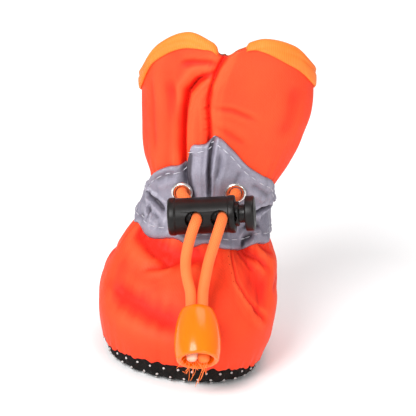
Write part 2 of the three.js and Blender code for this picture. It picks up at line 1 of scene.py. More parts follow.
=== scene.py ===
"""Looks of a soft dog boot with a drawcord ankle band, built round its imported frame.

Sizes are millimetres, angles are degrees from the toe (plus to the right), and tables hold shares
of the boot's own sizes. Meshes are made in metres in the frame's coordinates: +Z up, toe towards -Y.
"""

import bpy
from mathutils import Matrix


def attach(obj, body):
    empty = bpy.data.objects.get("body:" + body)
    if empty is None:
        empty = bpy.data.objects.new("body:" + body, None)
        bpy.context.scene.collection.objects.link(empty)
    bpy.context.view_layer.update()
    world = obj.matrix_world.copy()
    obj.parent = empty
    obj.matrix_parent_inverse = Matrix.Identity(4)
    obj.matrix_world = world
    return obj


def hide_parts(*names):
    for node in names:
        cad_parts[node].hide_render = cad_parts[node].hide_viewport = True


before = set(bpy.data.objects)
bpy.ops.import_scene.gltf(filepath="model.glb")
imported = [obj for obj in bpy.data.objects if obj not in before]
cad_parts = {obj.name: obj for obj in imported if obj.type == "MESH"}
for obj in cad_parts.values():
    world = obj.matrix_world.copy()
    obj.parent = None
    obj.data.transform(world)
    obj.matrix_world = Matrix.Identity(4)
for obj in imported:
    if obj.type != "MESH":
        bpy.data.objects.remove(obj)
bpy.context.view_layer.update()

import logging
import math
from collections.abc import Sequence
from dataclasses import dataclass, field
from enum import Enum
from typing import Any

import bpy
import numpy as np
from mathutils import Matrix, Vector

Array = np.ndarray
Colour = tuple[float, float, float, float]
MM = 0.001
CLOTH_UV = "cloth"
# Attribute of how deep in a fold or high on a roll a point lies, from which the cloth finishes paint shade
# into folds and light onto rolls.
FOLD = "fold"
LOG = logging.getLogger("dog_boot")


class Body(Enum):
    """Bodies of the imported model."""

    BOOT = "boot"
    BUTTON = "button"


class Slot(Enum):
    """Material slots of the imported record."""

    SOLE = "sole_fabric"
    INSOLE = "insole_foam"
    SHELL = "shell_fabric"
    BAND = "band_tape"
    BINDING = "binding_tape"
    EYELET = "eyelet_metal"
    LOCK = "lock_plastic"
    CORD = "elastic_cord"
    BELL = "bell_plastic"


def screen(red: float, green: float, blue: float) -> Colour:
    """A colour given in screen values of 0 to 255.

    Args:
        red: Red share.
        green: Green share.
        blue: Blue share.

    Returns:
        The colour in linear light, opaque.
    """
    linear = [((c / 255 + 0.055) / 1.055) ** 2.4 if c > 10.3 else c / 3294.6 for c in (red, green, blue)]
    return (linear[0], linear[1], linear[2], 1.0)


# Meshes


def make_object(name: str, mesh: bpy.types.Mesh) -> bpy.types.Object:
    """Puts a mesh into the scene.

    Args:
        name: Name of the piece.
        mesh: Its mesh, already in place.

    Returns:
        The new object at the origin.
    """
    piece = bpy.data.objects.new(name, mesh)
    bpy.context.scene.collection.objects.link(piece)
    return piece


def settle(
    piece: bpy.types.Object, replaces: Sequence[str] = (), body: Body = Body.BOOT
) -> bpy.types.Object:
    """Lets a finished piece ride on its body and hides the CAD nodes that it stands for.

    Args:
        piece: The finished piece.
        replaces: CAD nodes that it stands for.
        body: The body that it moves with.

    Returns:
        The same piece.
    """
    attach(piece, body.value)
    if replaces:
        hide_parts(*replaces)
    LOG.info("%s: %d faces, stands for %s", piece.name, len(piece.data.polygons), list(replaces) or "no node")
    return piece


def loft(name: str, rings: Array, ends: Array | None = None, fold: Array | None = None) -> bpy.types.Object:
    """Makes a closed smooth solid from rings of points.

    Args:
        name: Name of the piece.
        rings: Points in millimetres, as rings by columns by 3.
        ends: A first and a last point that close the solid; without them the last ring joins the first.
        fold: One value a point, kept as the attribute from which the cloth finishes paint shade into folds
            and light onto rolls.

    Returns:
        The piece, with a map of lengths in centimetres for woven patterns.
    """
    count, columns = rings.shape[:2]
    pairs = count - 1 if ends is not None else count
    k, i = np.meshgrid(np.arange(pairs), np.arange(columns), indexing="ij")
    upper, beside = (k + 1) % count, (i + 1) % columns
    quads = np.stack(
        [k * columns + i, k * columns + beside, upper * columns + beside, upper * columns + i], -1
    )
    quads = quads.reshape(-1, 4)
    step_round = np.linalg.norm(np.roll(rings, -1, axis=1) - rings, axis=2).mean(axis=0)
    step_up = np.linalg.norm(np.roll(rings, -1, axis=0) - rings, axis=2).mean(axis=1)
    around = np.concatenate([[0], np.cumsum(step_round)]) / 10
    up = np.concatenate([[0], np.cumsum(step_up)]) / 10
    spots = [(around[i], up[k]), (around[i + 1], up[k]), (around[i + 1], up[k + 1]), (around[i], up[k + 1])]
    quad_map = np.stack([np.stack(s, -1) for s in spots], -2).reshape(-1, 4, 2)
    points = rings.reshape(-1, 3)
    fans = np.zeros((0, 3), int)
    fan_map = np.zeros((0, 3, 2))
    if ends is not None:
        first, last, top = len(points), len(points) + 1, (count - 1) * columns
        points = np.vstack([points, ends])
        a = np.arange(columns)
        b = (a + 1) % columns
        under = np.stack([np.full(columns, first), b, a], -1)
        over = np.stack([np.full(columns, last), top + a, top + b], -1)
        fans = np.vstack([under, over])
        fan_map = points[fans][:, :, :2] / 10
    triangles = np.vstack([quads[:, [0, 1, 2]], quads[:, [0, 2, 3]], fans])
    corner = points[triangles]
    volume = np.einsum("ij,ij->i", corner[:, 0], np.cross(corner[:, 1], corner[:, 2])).sum()
    if volume < 0:
        quads, quad_map = quads[:, ::-1], quad_map[:, ::-1]
        fans, fan_map = fans[:, ::-1], fan_map[:, ::-1]
    mesh = bpy.data.meshes.new(name)
    mesh.from_pydata((points * MM).tolist(), [], quads.tolist() + fans.tolist())
    uv = mesh.uv_layers.new(name=CLOTH_UV)
    uv.data.foreach_set("uv", np.concatenate([quad_map.ravel(), fan_map.ravel()]).astype(np.float32))
    mesh.polygons.foreach_set("use_smooth", np.ones(len(mesh.polygons), bool))
    if fold is not None:
        values = np.zeros(len(points), np.float32)
        values[: fold.size] = fold.ravel()
        mesh.attributes.new(FOLD, "FLOAT", "POINT").data.foreach_set("value", values)
    return make_object(name, mesh)


def turned(
    name: str, profile: Sequence[tuple[float, float]], segments: int, place: Matrix
) -> bpy.types.Object:
    """Makes a turned solid about the local X axis.

    Args:
        name: Name of the piece.
        profile: Pairs of radius and place along the axis, which start and end on the axis.
        segments: Facets round the axis.
        place: Where the solid stands, in millimetres.

    Returns:
        The piece.
    """
    way = np.linspace(0, 2 * np.pi, segments, endpoint=False)
    rings = np.array([[(at, r * math.cos(w), r * math.sin(w)) for w in way] for r, at in profile[1:-1]])
    ends = np.array([(profile[0][1], 0, 0), (profile[-1][1], 0, 0)], float)
    turn = np.array(place)
    return loft(name, rings @ turn[:3, :3].T + turn[:3, 3], ends @ turn[:3, :3].T + turn[:3, 3])


def rounded(corners: Sequence[tuple[float, float, float]], steps: int = 4) -> list[tuple[float, float]]:
    """Rounds the corners of a profile.

    Args:
        corners: Radius, place along the axis and rounding of each corner.
        steps: Points on each rounding, less one.

    Returns:
        Pairs of radius and place.
    """
    path: list[tuple[float, float]] = []
    for n, (r, at, rounding) in enumerate(corners):
        here = np.array((r, at))
        if rounding <= 0 or n in (0, len(corners) - 1):
            path.append((r, at))
            continue
        before = np.array(corners[n - 1][:2]) - here
        after = np.array(corners[n + 1][:2]) - here
        start = here + before / np.linalg.norm(before) * rounding
        end = here + after / np.linalg.norm(after) * rounding
        for t in np.linspace(0, 1, steps + 1):
            spot = (1 - t) ** 2 * start + 2 * t * (1 - t) * here + t**2 * end
            path.append((float(spot[0]), float(spot[1])))
    return path


def baked(piece: bpy.types.Object) -> bpy.types.Object:
    """Applies a piece's modifiers to its mesh.

    Args:
        piece: The piece with modifiers.

    Returns:
        The same piece, with a plain mesh and no modifier.
    """
    bpy.context.view_layer.update()
    graph = bpy.context.evaluated_depsgraph_get()
    mesh = bpy.data.meshes.new_from_object(piece.evaluated_get(graph))
    piece.modifiers.clear()
    piece.data = mesh
    return piece


def cut(piece: bpy.types.Object, cutters: Sequence[bpy.types.Object], bevel: float) -> bpy.types.Object:
    """Cuts solids out of a moulded piece and breaks its sharp edges.

    Args:
        piece: The piece to cut.
        cutters: Closed solids, which are removed afterwards.
        bevel: Width of the broken edge, in millimetres.

    Returns:
        The piece with a plain mesh.
    """
    for cutter in cutters:
        knife = piece.modifiers.new("cut", "BOOLEAN")
        knife.operation, knife.solver, knife.object = "DIFFERENCE", "EXACT", cutter
        baked(piece)
        bpy.data.objects.remove(cutter)
    edge = piece.modifiers.new("edge", "BEVEL")
    edge.width, edge.segments, edge.limit_method = bevel * MM, 2, "ANGLE"
    edge.angle_limit = math.radians(38)
    baked(piece)
    piece.data.polygons.foreach_set("use_smooth", np.ones(len(piece.data.polygons), bool))
    piece.data.set_sharp_from_angle(angle=math.radians(42))
    return piece


def slot_cutter(start: float, end: float, height: float, depth: float, place: Matrix) -> bpy.types.Object:
    """Makes a bar with round ends that runs along the local Y axis.

    Args:
        start: Lowest place along X.
        end: Highest place along X.
        height: Height along Z.
        depth: Length along Y.
        place: Where the bar stands, in millimetres.

    Returns:
        The bar as a closed solid.
    """
    half = height / 2
    way = np.linspace(-np.pi / 2, np.pi / 2, 13)
    right = [(end - half + half * math.cos(w), half * math.sin(w)) for w in way]
    left = [(start + half - half * math.cos(w), -half * math.sin(w)) for w in way]
    rim = np.array(right + left)
    turn = np.array(place)
    faces = (-depth / 2, depth / 2)
    rings = np.stack([np.column_stack([rim[:, 0], np.full(len(rim), y), rim[:, 1]]) for y in faces])
    middle = (start + end) / 2
    ends = np.array([(middle, -depth / 2, 0), (middle, depth / 2, 0)], float)
    return loft("cutter", rings @ turn[:3, :3].T + turn[:3, 3], ends @ turn[:3, :3].T + turn[:3, 3])


# Node trees


class Web:
    """A material's node tree, with short calls that add and join its nodes."""

    def __init__(self, name: str) -> None:
        """Starts an empty material.

        Args:
            name: Name of the material.
        """
        self.material = bpy.data.materials.new(name)
        self.material.use_nodes = True
        self.tree = self.material.node_tree
        self.tree.nodes.clear()

    def add(self, kind: str, inputs: dict[str | int, Any] | None = None, **settings: Any) -> bpy.types.Node:
        """Adds a node.

        Args:
            kind: Its type, without the leading ShaderNode.
            inputs: Values or sockets for its inputs.
            **settings: Its properties.

        Returns:
            The node.
        """
        node = self.tree.nodes.new("ShaderNode" + kind)
        for key, value in settings.items():
            setattr(node, key, value)
        for key, value in (inputs or {}).items():
            if isinstance(value, bpy.types.NodeSocket):
                self.tree.links.new(value, node.inputs[key])
            else:
                node.inputs[key].default_value = value
        return node

    def math(self, operation: str, *values: Any) -> bpy.types.NodeSocket:
        """The result of a Math node on values or sockets."""
        return self.add("Math", dict(enumerate(values)), operation=operation).outputs[0]

    def place(self) -> bpy.types.NodeSocket:
        """The place in the frame, in metres."""
        return self.add("TexCoord").outputs["Object"]

    def cloth(self) -> bpy.types.NodeSocket:
        """The place on the cloth, in centimetres."""
        return self.add("UVMap", uv_map=CLOTH_UV).outputs["UV"]

    def noise(
        self, vector: bpy.types.NodeSocket, scale: float, detail: float = 2.0, rough: float = 0.5
    ) -> bpy.types.NodeSocket:
        """The height of a noise, from 0 to 1."""
        inputs = {"Vector": vector, "Scale": scale, "Detail": detail, "Roughness": rough}
        return self.add("TexNoise", inputs).outputs["Fac"]

    def span(
        self, value: Any, low: float, high: float, to_low: float, to_high: float
    ) -> bpy.types.NodeSocket:
        """A value taken from one range to another and held inside it."""
        inputs = {"Value": value, "From Min": low, "From Max": high, "To Min": to_low, "To Max": to_high}
        return self.add("MapRange", inputs, clamp=True).outputs["Result"]

    def mix(self, share: Any, first: Any, second: Any, blend: str = "MIX") -> bpy.types.NodeSocket:
        """Two colours mixed by a share."""
        return self.add("Mix", {0: share, 6: first, 7: second}, data_type="RGBA", blend_type=blend).outputs[2]

    def weave(self, spot: bpy.types.NodeSocket, across: float, along: float) -> bpy.types.NodeSocket:
        """Height of a plain weave, from 0 to 1.

        Args:
            spot: Place on the cloth, in centimetres.
            across: Threads to a centimetre across.
            along: Threads to a centimetre along.

        Returns:
            The height.
        """
        parts = self.add("SeparateXYZ", {0: spot})
        warp = self.math("SINE", self.math("MULTIPLY", parts.outputs[0], across * math.pi))
        weft = self.math("SINE", self.math("MULTIPLY", parts.outputs[1], along * math.pi))
        return self.math("MULTIPLY_ADD", self.math("MULTIPLY", warp, weft), 0.5, 0.5)

    def bump(self, height: Any, depth: float, below: Any = None) -> bpy.types.NodeSocket:
        """A bumped normal.

        Args:
            height: Height from 0 to 1.
            depth: What a height of 1 stands for, in millimetres.
            below: A normal that this one is added to.

        Returns:
            The normal.
        """
        inputs = {"Height": height, "Distance": depth * MM, "Strength": 1.0}
        if below is not None:
            inputs["Normal"] = below
        return self.add("Bump", inputs).outputs["Normal"]

    def dress(self, **inputs: Any) -> bpy.types.Material:
        """Ends the tree in a Principled shader.

        Args:
            **inputs: Its inputs, with underscores for blanks.

        Returns:
            The finished material.
        """
        named = {key.replace("_", " "): value for key, value in inputs.items()}
        shader = self.add("BsdfPrincipled", named)
        self.add("OutputMaterial", {"Surface": shader.outputs[0]})
        return self.material


class Graph:
    """A Geometry Nodes tree with named inputs, and the call that grows a plain mesh from it."""

    def __init__(self, name: str, inputs: dict[str, str]) -> None:
        """Starts the tree.

        Args:
            name: Name of the tree.
            inputs: Socket type of each named input.
        """
        self.tree = bpy.data.node_groups.new(name, "GeometryNodeTree")
        self.tree.interface.new_socket("Geometry", in_out="INPUT", socket_type="NodeSocketGeometry")
        for label, kind in {**inputs, "Material": "NodeSocketMaterial"}.items():
            self.tree.interface.new_socket(label, in_out="INPUT", socket_type=kind)
        self.tree.interface.new_socket("Geometry", in_out="OUTPUT", socket_type="NodeSocketGeometry")
        self.entry = self.tree.nodes.new("NodeGroupInput").outputs

    def add(self, kind: str, inputs: dict[str | int, Any] | None = None, **settings: Any) -> bpy.types.Node:
        """Adds a node.

        Args:
            kind: Its full type name.
            inputs: Values or sockets for its inputs.
            **settings: Its properties.

        Returns:
            The node.
        """
        node = self.tree.nodes.new(kind)
        for key, value in settings.items():
            setattr(node, key, value)
        for key, value in (inputs or {}).items():
            if isinstance(value, bpy.types.NodeSocket):
                self.tree.links.new(value, node.inputs[key])
            else:
                node.inputs[key].default_value = value
        return node

    def close(self, result: bpy.types.NodeSocket) -> None:
        """Ends the tree in Realize Instances and Set Material."""
        real = self.add("GeometryNodeRealizeInstances", {0: result}).outputs[0]
        smooth = self.add("GeometryNodeSetShadeSmooth", {0: real}).outputs[0]
        dressed = self.add("GeometryNodeSetMaterial", {0: smooth, "Material": self.entry["Material"]})
        self.add("NodeGroupOutput", {0: dressed.outputs[0]})

    def grow(self, name: str, source: bpy.types.Object, values: dict[str, Any]) -> bpy.types.Object:
        """Runs the tree on a source and keeps the result as a plain mesh.

        Args:
            name: Name of the new piece.
            source: What the tree starts from; it is removed.
            values: A value for each named input.

        Returns:
            The new piece.
        """
        modifier = source.modifiers.new("grow", "NODES")
        modifier.node_group = self.tree
        known = {
            item.name: item.identifier for item in self.tree.interface.items_tree if item.in_out == "INPUT"
        }
        for label, value in values.items():
            modifier[known[label]] = value
        bpy.context.view_layer.update()
        graph = bpy.context.evaluated_depsgraph_get()
        mesh = bpy.data.meshes.new_from_object(source.evaluated_get(graph))
        bpy.data.objects.remove(source)
        return make_object(name, mesh)


def trail(points: Array, out: Array, runs: Sequence[tuple[int, int]]) -> bpy.types.Object:
    """Makes the source line, or lines, that a tree follows.

    Args:
        points: Places in millimetres.
        out: The way out of the surface at each.
        runs: First index of each separate line, and the index after its last.

    Returns:
        An object with edges and the attribute "out".
    """
    edges = [(i, i + 1) for first, last in runs for i in range(first, last - 1)]
    mesh = bpy.data.meshes.new("trail")
    mesh.from_pydata((points * MM).tolist(), edges, [])
    mesh.attributes.new("out", "FLOAT_VECTOR", "POINT").data.foreach_set(
        "vector", out.astype(np.float32).ravel()
    )
    return make_object("trail", mesh)


def stitch_graph() -> Graph:
    """Tree that lays beads along a line at an even pitch, each along the line and flat to the surface."""
    kinds = {
        "Pitch": "NodeSocketFloat", "Size": "NodeSocketVector", "Variation": "NodeSocketFloat",
        "Seed": "NodeSocketInt",
    }
    web = Graph("stitch row", kinds)
    entry = web.entry
    line = web.add("GeometryNodeMeshToCurve", {0: entry["Geometry"]}).outputs[0]
    even = web.add("GeometryNodeResampleCurve", {0: line, "Length": entry["Pitch"]}, mode="LENGTH").outputs[0]
    out = web.add("GeometryNodeInputNamedAttribute", {"Name": "out"}, data_type="FLOAT_VECTOR").outputs[0]
    ahead = web.add("GeometryNodeInputTangent").outputs[0]
    turn = web.add(
        "FunctionNodeAxesToRotation", {0: ahead, 1: out}, primary_axis="X", secondary_axis="Z"
    ).outputs[0]
    low = web.add("ShaderNodeMath", {0: 1.0, 1: entry["Variation"]}, operation="SUBTRACT").outputs[0]
    high = web.add("ShaderNodeMath", {0: 1.0, 1: entry["Variation"]}, operation="ADD").outputs[0]
    chance = web.add("FunctionNodeRandomValue", {"Seed": entry["Seed"]}, data_type="FLOAT")
    web.tree.links.new(low, chance.inputs[2])
    web.tree.links.new(high, chance.inputs[3])
    size = web.add(
        "ShaderNodeVectorMath", {0: entry["Size"], "Scale": chance.outputs[1]}, operation="SCALE"
    ).outputs[0]
    bead = web.add("GeometryNodeMeshUVSphere", {"Segments": 8, "Rings": 6, "Radius": 0.5}).outputs[0]
    spread = {"Points": even, "Instance": bead, "Rotation": turn, "Scale": size}
    web.close(web.add("GeometryNodeInstanceOnPoints", spread).outputs[0])
    return web


def dot_graph() -> Graph:
    """Tree that sets a flat round dot on every point, facing the way out of the surface."""
    kinds = {
        "Width": "NodeSocketFloat", "Height": "NodeSocketFloat", "Variation": "NodeSocketFloat",
        "Seed": "NodeSocketInt",
    }
    web = Graph("dots", kinds)
    entry = web.entry
    out = web.add("GeometryNodeInputNamedAttribute", {"Name": "out"}, data_type="FLOAT_VECTOR").outputs[0]
    turn = web.add("FunctionNodeAlignRotationToVector", {"Vector": out}, axis="Z").outputs[0]
    low = web.add("ShaderNodeMath", {0: 1.0, 1: entry["Variation"]}, operation="SUBTRACT").outputs[0]
    chance = web.add("FunctionNodeRandomValue", {"Seed": entry["Seed"]}, data_type="FLOAT")
    web.tree.links.new(low, chance.inputs[2])
    wide = web.add(
        "ShaderNodeMath", {0: entry["Width"], 1: chance.outputs[1]}, operation="MULTIPLY"
    ).outputs[0]
    size = web.add("ShaderNodeCombineXYZ", {0: wide, 1: wide, 2: entry["Height"]}).outputs[0]
    bead = web.add("GeometryNodeMeshUVSphere", {"Segments": 10, "Rings": 6, "Radius": 0.5}).outputs[0]
    spread = {"Points": entry["Geometry"], "Instance": bead, "Rotation": turn, "Scale": size}
    web.close(web.add("GeometryNodeInstanceOnPoints", spread).outputs[0])
    return web


def thread_graph() -> Graph:
    """Tree that gives every line of its source a round section, with a slight wander."""
    kinds = {"Thickness": "NodeSocketFloat", "Wander": "NodeSocketFloat", "Grain": "NodeSocketFloat"}
    web = Graph("threads", kinds)
    entry = web.entry
    line = web.add("GeometryNodeMeshToCurve", {0: entry["Geometry"]}).outputs[0]
    noise = web.add("ShaderNodeTexNoise", {"Scale": entry["Grain"], "Detail": 1.0}).outputs["Color"]
    middle = web.add("ShaderNodeVectorMath", {0: noise, 1: (0.5, 0.5, 0.5)}, operation="SUBTRACT").outputs[0]
    shift = web.add(
        "ShaderNodeVectorMath", {0: middle, "Scale": entry["Wander"]}, operation="SCALE"
    ).outputs[0]
    moved = web.add("GeometryNodeSetPosition", {0: line, "Offset": shift}).outputs[0]
    half = web.add("ShaderNodeMath", {0: entry["Thickness"], 1: 0.5}, operation="MULTIPLY").outputs[0]
    section = web.add("GeometryNodeCurvePrimitiveCircle", {"Resolution": 5, "Radius": half}).outputs[0]
    web.close(web.add("GeometryNodeCurveToMesh", {0: moved, 1: section, "Fill Caps": True}).outputs[0])
    return web


# Finishes


@dataclass(frozen=True)
class ShellCloth:
    """Smooth soft-shell cloth of the upper, with painted light that makes it bright on the rounds and painted
    shade that makes it deep red in the folds.
    """

    # light is painted light on the rounds, ground the cloth's own red, deep the painted shade for the folds.
    light: Colour = screen(255, 82, 38)
    ground: Colour = screen(250, 60, 22)
    deep: Colour = screen(222, 24, 7)
    threads: float = 24.0

    def material(self) -> bpy.types.Material:
        """Builds the material."""
        web = Web("shell cloth")
        cloth, place = web.cloth(), web.place()
        fold = web.add("Attribute", attribute_name=FOLD).outputs["Fac"]
        drift = web.noise(place, 42.0, 3.0)
        blotch = web.noise(place, 160.0, 3.0, 0.6)
        # Painted shade and light: the fold attribute darkens the folds towards deep and brightens the rounds
        # towards light, over random tone.
        lift = web.math("ADD", web.math("MULTIPLY_ADD", drift, 0.5, -0.25), fold)
        colour = web.mix(web.span(lift, -0.1, 0.5, 0.0, 1.0), self.ground, self.light)
        colour = web.mix(web.span(lift, -0.75, 0.0, 0.85, 0.0), colour, self.deep)
        weave = web.weave(cloth, self.threads, self.threads)
        shade = web.math("MULTIPLY_ADD", weave, 0.05, 0.95)
        shade = web.math("MULTIPLY", shade, web.span(blotch, 0.3, 0.75, 0.93, 1.04))
        grey = web.add("CombineColor", {0: shade, 1: shade, 2: shade}).outputs[0]
        colour = web.mix(1.0, colour, grey, "MULTIPLY")
        slub = web.noise(web.add("Mapping", {"Vector": cloth, "Scale": (6.0, 0.7, 1.0)}).outputs[0], 5.0, 2.0)
        normal = web.bump(web.noise(place, 420.0, 4.0, 0.6), 0.16)
        normal = web.bump(slub, 0.05, normal)
        normal = web.bump(weave, 0.03, normal)
        return web.dress(
            Base_Color=colour,
            Roughness=web.span(blotch, 0.2, 0.8, 0.58, 0.72),
            Specular_IOR_Level=0.28,
            Sheen_Weight=0.08,
            Sheen_Roughness=0.42,
            Sheen_Tint=screen(255, 150, 110),
            Normal=normal,
        )


@dataclass(frozen=True)
class Ribbon:
    """Ribbed binding ribbon."""

    light: Colour = screen(254, 134, 44)
    ground: Colour = screen(249, 112, 26)
    ribs: float = 18.0

    def material(self) -> bpy.types.Material:
        """Builds the material."""
        web = Web("binding ribbon")
        cloth, place = web.cloth(), web.place()
        parts = web.add("SeparateXYZ", {0: cloth})
        wave = web.math("SINE", web.math("MULTIPLY", parts.outputs[0], self.ribs * 2 * math.pi))
        rib = web.math("MULTIPLY_ADD", wave, 0.5, 0.5)
        drift = web.noise(place, 70.0, 3.0)
        share = web.span(web.math("MULTIPLY_ADD", rib, 0.22, drift), 0.35, 0.8, 0.0, 1.0)
        colour = web.mix(share, self.ground, self.light)
        normal = web.bump(web.noise(place, 500.0, 3.0), 0.10)
        normal = web.bump(rib, 0.06, normal)
        return web.dress(
            Base_Color=colour,
            Roughness=web.span(drift, 0.2, 0.8, 0.5, 0.64),
            Specular_IOR_Level=0.35,
            Sheen_Weight=0.08,
            Sheen_Roughness=0.35,
            Sheen_Tint=screen(255, 205, 150),
            Normal=normal,
        )


@dataclass(frozen=True)
class ReflectiveTape:
    """Silver-grey reflective tape: fine beads on a creased cloth, with painted shade in its folds and painted
    light on its rises.
    """

    # light is partly random tone and partly painted light on the rises, ground the tape's own grey, deep the
    # painted shade for the folds.
    light: Colour = screen(150, 146, 160)
    ground: Colour = screen(130, 126, 140)
    deep: Colour = screen(58, 51, 60)

    def material(self) -> bpy.types.Material:
        """Builds the material."""
        web = Web("reflective tape")
        cloth, place = web.cloth(), web.place()
        fold = web.add("Attribute", attribute_name=FOLD).outputs["Fac"]
        drift = web.noise(place, 110.0, 4.0, 0.6)
        beads = web.noise(place, 3600.0, 1.0)
        # Painted light and shade: the fold attribute lightens the rises and darkens the folds towards deep
        # grey.
        colour = web.mix(web.span(web.math("ADD", drift, fold), 0.4, 1.0, 0.0, 1.0), self.ground, self.light)
        colour = web.mix(web.span(fold, -1.0, -0.15, 0.9, 0.0), colour, self.deep)
        shade = web.span(beads, 0.3, 0.7, 0.88, 1.08)
        grey = web.add("CombineColor", {0: shade, 1: shade, 2: shade}).outputs[0]
        colour = web.mix(1.0, colour, grey, "MULTIPLY")
        crumple = web.noise(place, 260.0, 3.0, 0.55)
        normal = web.bump(crumple, 0.16)
        normal = web.bump(web.weave(cloth, 20.0, 20.0), 0.02, normal)
        normal = web.bump(beads, 0.03, normal)
        return web.dress(
            Base_Color=colour,
            Roughness=web.span(drift, 0.25, 0.75, 0.36, 0.54),
            Metallic=0.08,
            Specular_IOR_Level=0.5,
            Normal=normal,
        )


@dataclass(frozen=True)
class SoleFabric:
    """Coarse dark fabric of the sole, dusty on its high threads."""

    light: Colour = screen(34, 28, 25)
    ground: Colour = screen(12, 10, 9)

    def material(self) -> bpy.types.Material:
        """Builds the material."""
        web = Web("sole fabric")
        place = web.place()
        grain = web.noise(place, 1100.0, 3.0, 0.6)
        dust = web.noise(place, 95.0, 3.0)
        cell = web.add("TexVoronoi", {"Vector": place, "Scale": 1300.0}).outputs["Distance"]
        share = web.span(web.math("MULTIPLY", grain, dust), 0.16, 0.42, 0.0, 1.0)
        normal = web.bump(cell, 0.14)
        normal = web.bump(grain, 0.16, normal)
        return web.dress(
            Base_Color=web.mix(share, self.ground, self.light),
            Roughness=web.span(dust, 0.3, 0.7, 0.78, 0.95),
            Specular_IOR_Level=0.16,
            Normal=normal,
        )


@dataclass(frozen=True)
class Plain:
    """A finish of one colour that drifts to another, with a grain of its own.

    Attributes:
        name: Name of the material.
        ground: Its main colour.
        light: The colour that it drifts to.
        roughness: Lowest and highest roughness.
        grain: Noise waves to a metre.
        relief: Depth of the grain, in millimetres.
        metallic: 1 for metal.
        specular: Specular level.
        glow: Share of light let through under the surface.
    """

    name: str
    ground: Colour
    light: Colour
    roughness: tuple[float, float] = (0.5, 0.6)
    grain: float = 600.0
    relief: float = 0.05
    metallic: float = 0.0
    specular: float = 0.5
    glow: float = 0.0

    def material(self) -> bpy.types.Material:
        """Builds the material."""
        web = Web(self.name)
        place = web.place()
        drift = web.noise(place, self.grain * 0.18, 3.0)
        grain = web.noise(place, self.grain, 3.0, 0.55)
        share = web.span(web.math("MULTIPLY_ADD", grain, 0.35, drift), 0.35, 0.95, 0.0, 1.0)
        colour = web.mix(share, self.ground, self.light)
        inputs: dict[str, Any] = {"Metallic": self.metallic, "Specular_IOR_Level": self.specular}
        if self.glow:
            inputs |= {
                "Subsurface_Weight": self.glow, "Subsurface_Scale": 0.004,
                "Subsurface_Radius": (1.0, 0.35, 0.1),
            }
        return web.dress(
            Base_Color=colour,
            Roughness=web.span(drift, 0.3, 0.7, *self.roughness),
            Normal=web.bump(grain, self.relief),
            **inputs,
        )


@dataclass(frozen=True)
class BraidedElastic:
    """Elastic cord in a braided sleeve."""

    light: Colour = screen(255, 120, 58)
    ground: Colour = screen(246, 98, 40)
    around: float = 12.0
    along: float = 13.0

    def material(self) -> bpy.types.Material:
        """Builds the material: two sets of strands that wind round the cord against each other."""
        web = Web("braided elastic")
        parts = web.add("SeparateXYZ", {0: web.cloth()})
        turn = web.math("MULTIPLY", parts.outputs[0], self.around * 2 * math.pi / 0.942)
        step = web.math("MULTIPLY", parts.outputs[1], self.along * 2 * math.pi)
        one = web.math("SINE", web.math("ADD", turn, step))
        two = web.math("SINE", web.math("SUBTRACT", turn, step))
        strand = web.math("MULTIPLY_ADD", web.math("MAXIMUM", one, two), 0.5, 0.5)
        drift = web.noise(web.place(), 260.0, 3.0)
        share = web.span(web.math("MULTIPLY_ADD", drift, 0.5, strand), 0.35, 1.25, 0.0, 1.0)
        fuzz = web.bump(web.noise(web.place(), 3000.0, 2.0), 0.04)
        return web.dress(
            Base_Color=web.mix(share, self.ground, self.light),
            Roughness=0.68,
            Specular_IOR_Level=0.35,
            Sheen_Weight=0.25,
            Sheen_Roughness=0.4,
            Sheen_Tint=screen(255, 190, 140),
            Normal=web.bump(strand, 0.07, fuzz),
        )


LOCK_PLASTIC = Plain(
    "lock plastic", screen(10, 8, 8), screen(21, 18, 17), (0.34, 0.46), 900.0, 0.03, specular=0.26
)
BELL_PLASTIC = Plain(
    "bell plastic", screen(250, 102, 0), screen(255, 114, 0), (0.15, 0.22), 160.0, 0.04,
    specular=0.35, glow=0.1,
)
EYELET_METAL = Plain(
    "eyelet metal", screen(205, 196, 190), screen(240, 236, 232), (0.2, 0.34), 700.0, 0.03, metallic=1.0
)
RUBBER_DOT = Plain("rubber dot", screen(150, 145, 142), screen(205, 202, 200), (0.45, 0.6), 900.0, 0.03)
INSOLE_FOAM = Plain(
    "insole foam", screen(44, 40, 39), screen(70, 64, 61), (0.85, 0.95), 1500.0, 0.12, specular=0.2
)
WHITE_THREAD = Plain("white thread", screen(168, 166, 176), screen(198, 196, 205), (0.55, 0.7), 3000.0, 0.03)
ORANGE_THREAD = Plain("orange thread", screen(246, 96, 20), screen(255, 136, 52), (0.55, 0.7), 3000.0, 0.03)
# Dark red of the needle holes: painted shade of the holes, laid on flat beads.
NEEDLE_HOLE_SHADE = Plain(
    "needle hole", screen(178, 34, 14), screen(196, 42, 18), (0.8, 0.9), 3000.0, 0.01, specular=0.1
)
RUBBER_CORE = Plain(
    "rubber core", screen(236, 178, 146), screen(250, 214, 188), (0.3, 0.45), 1200.0, 0.08, glow=0.1
)
STUDIO_FLOOR = Plain(
    "studio floor", screen(252, 252, 253), screen(254, 254, 254), (0.85, 0.95), 60.0, 0.02, specular=0.1
)


# The last and its folds


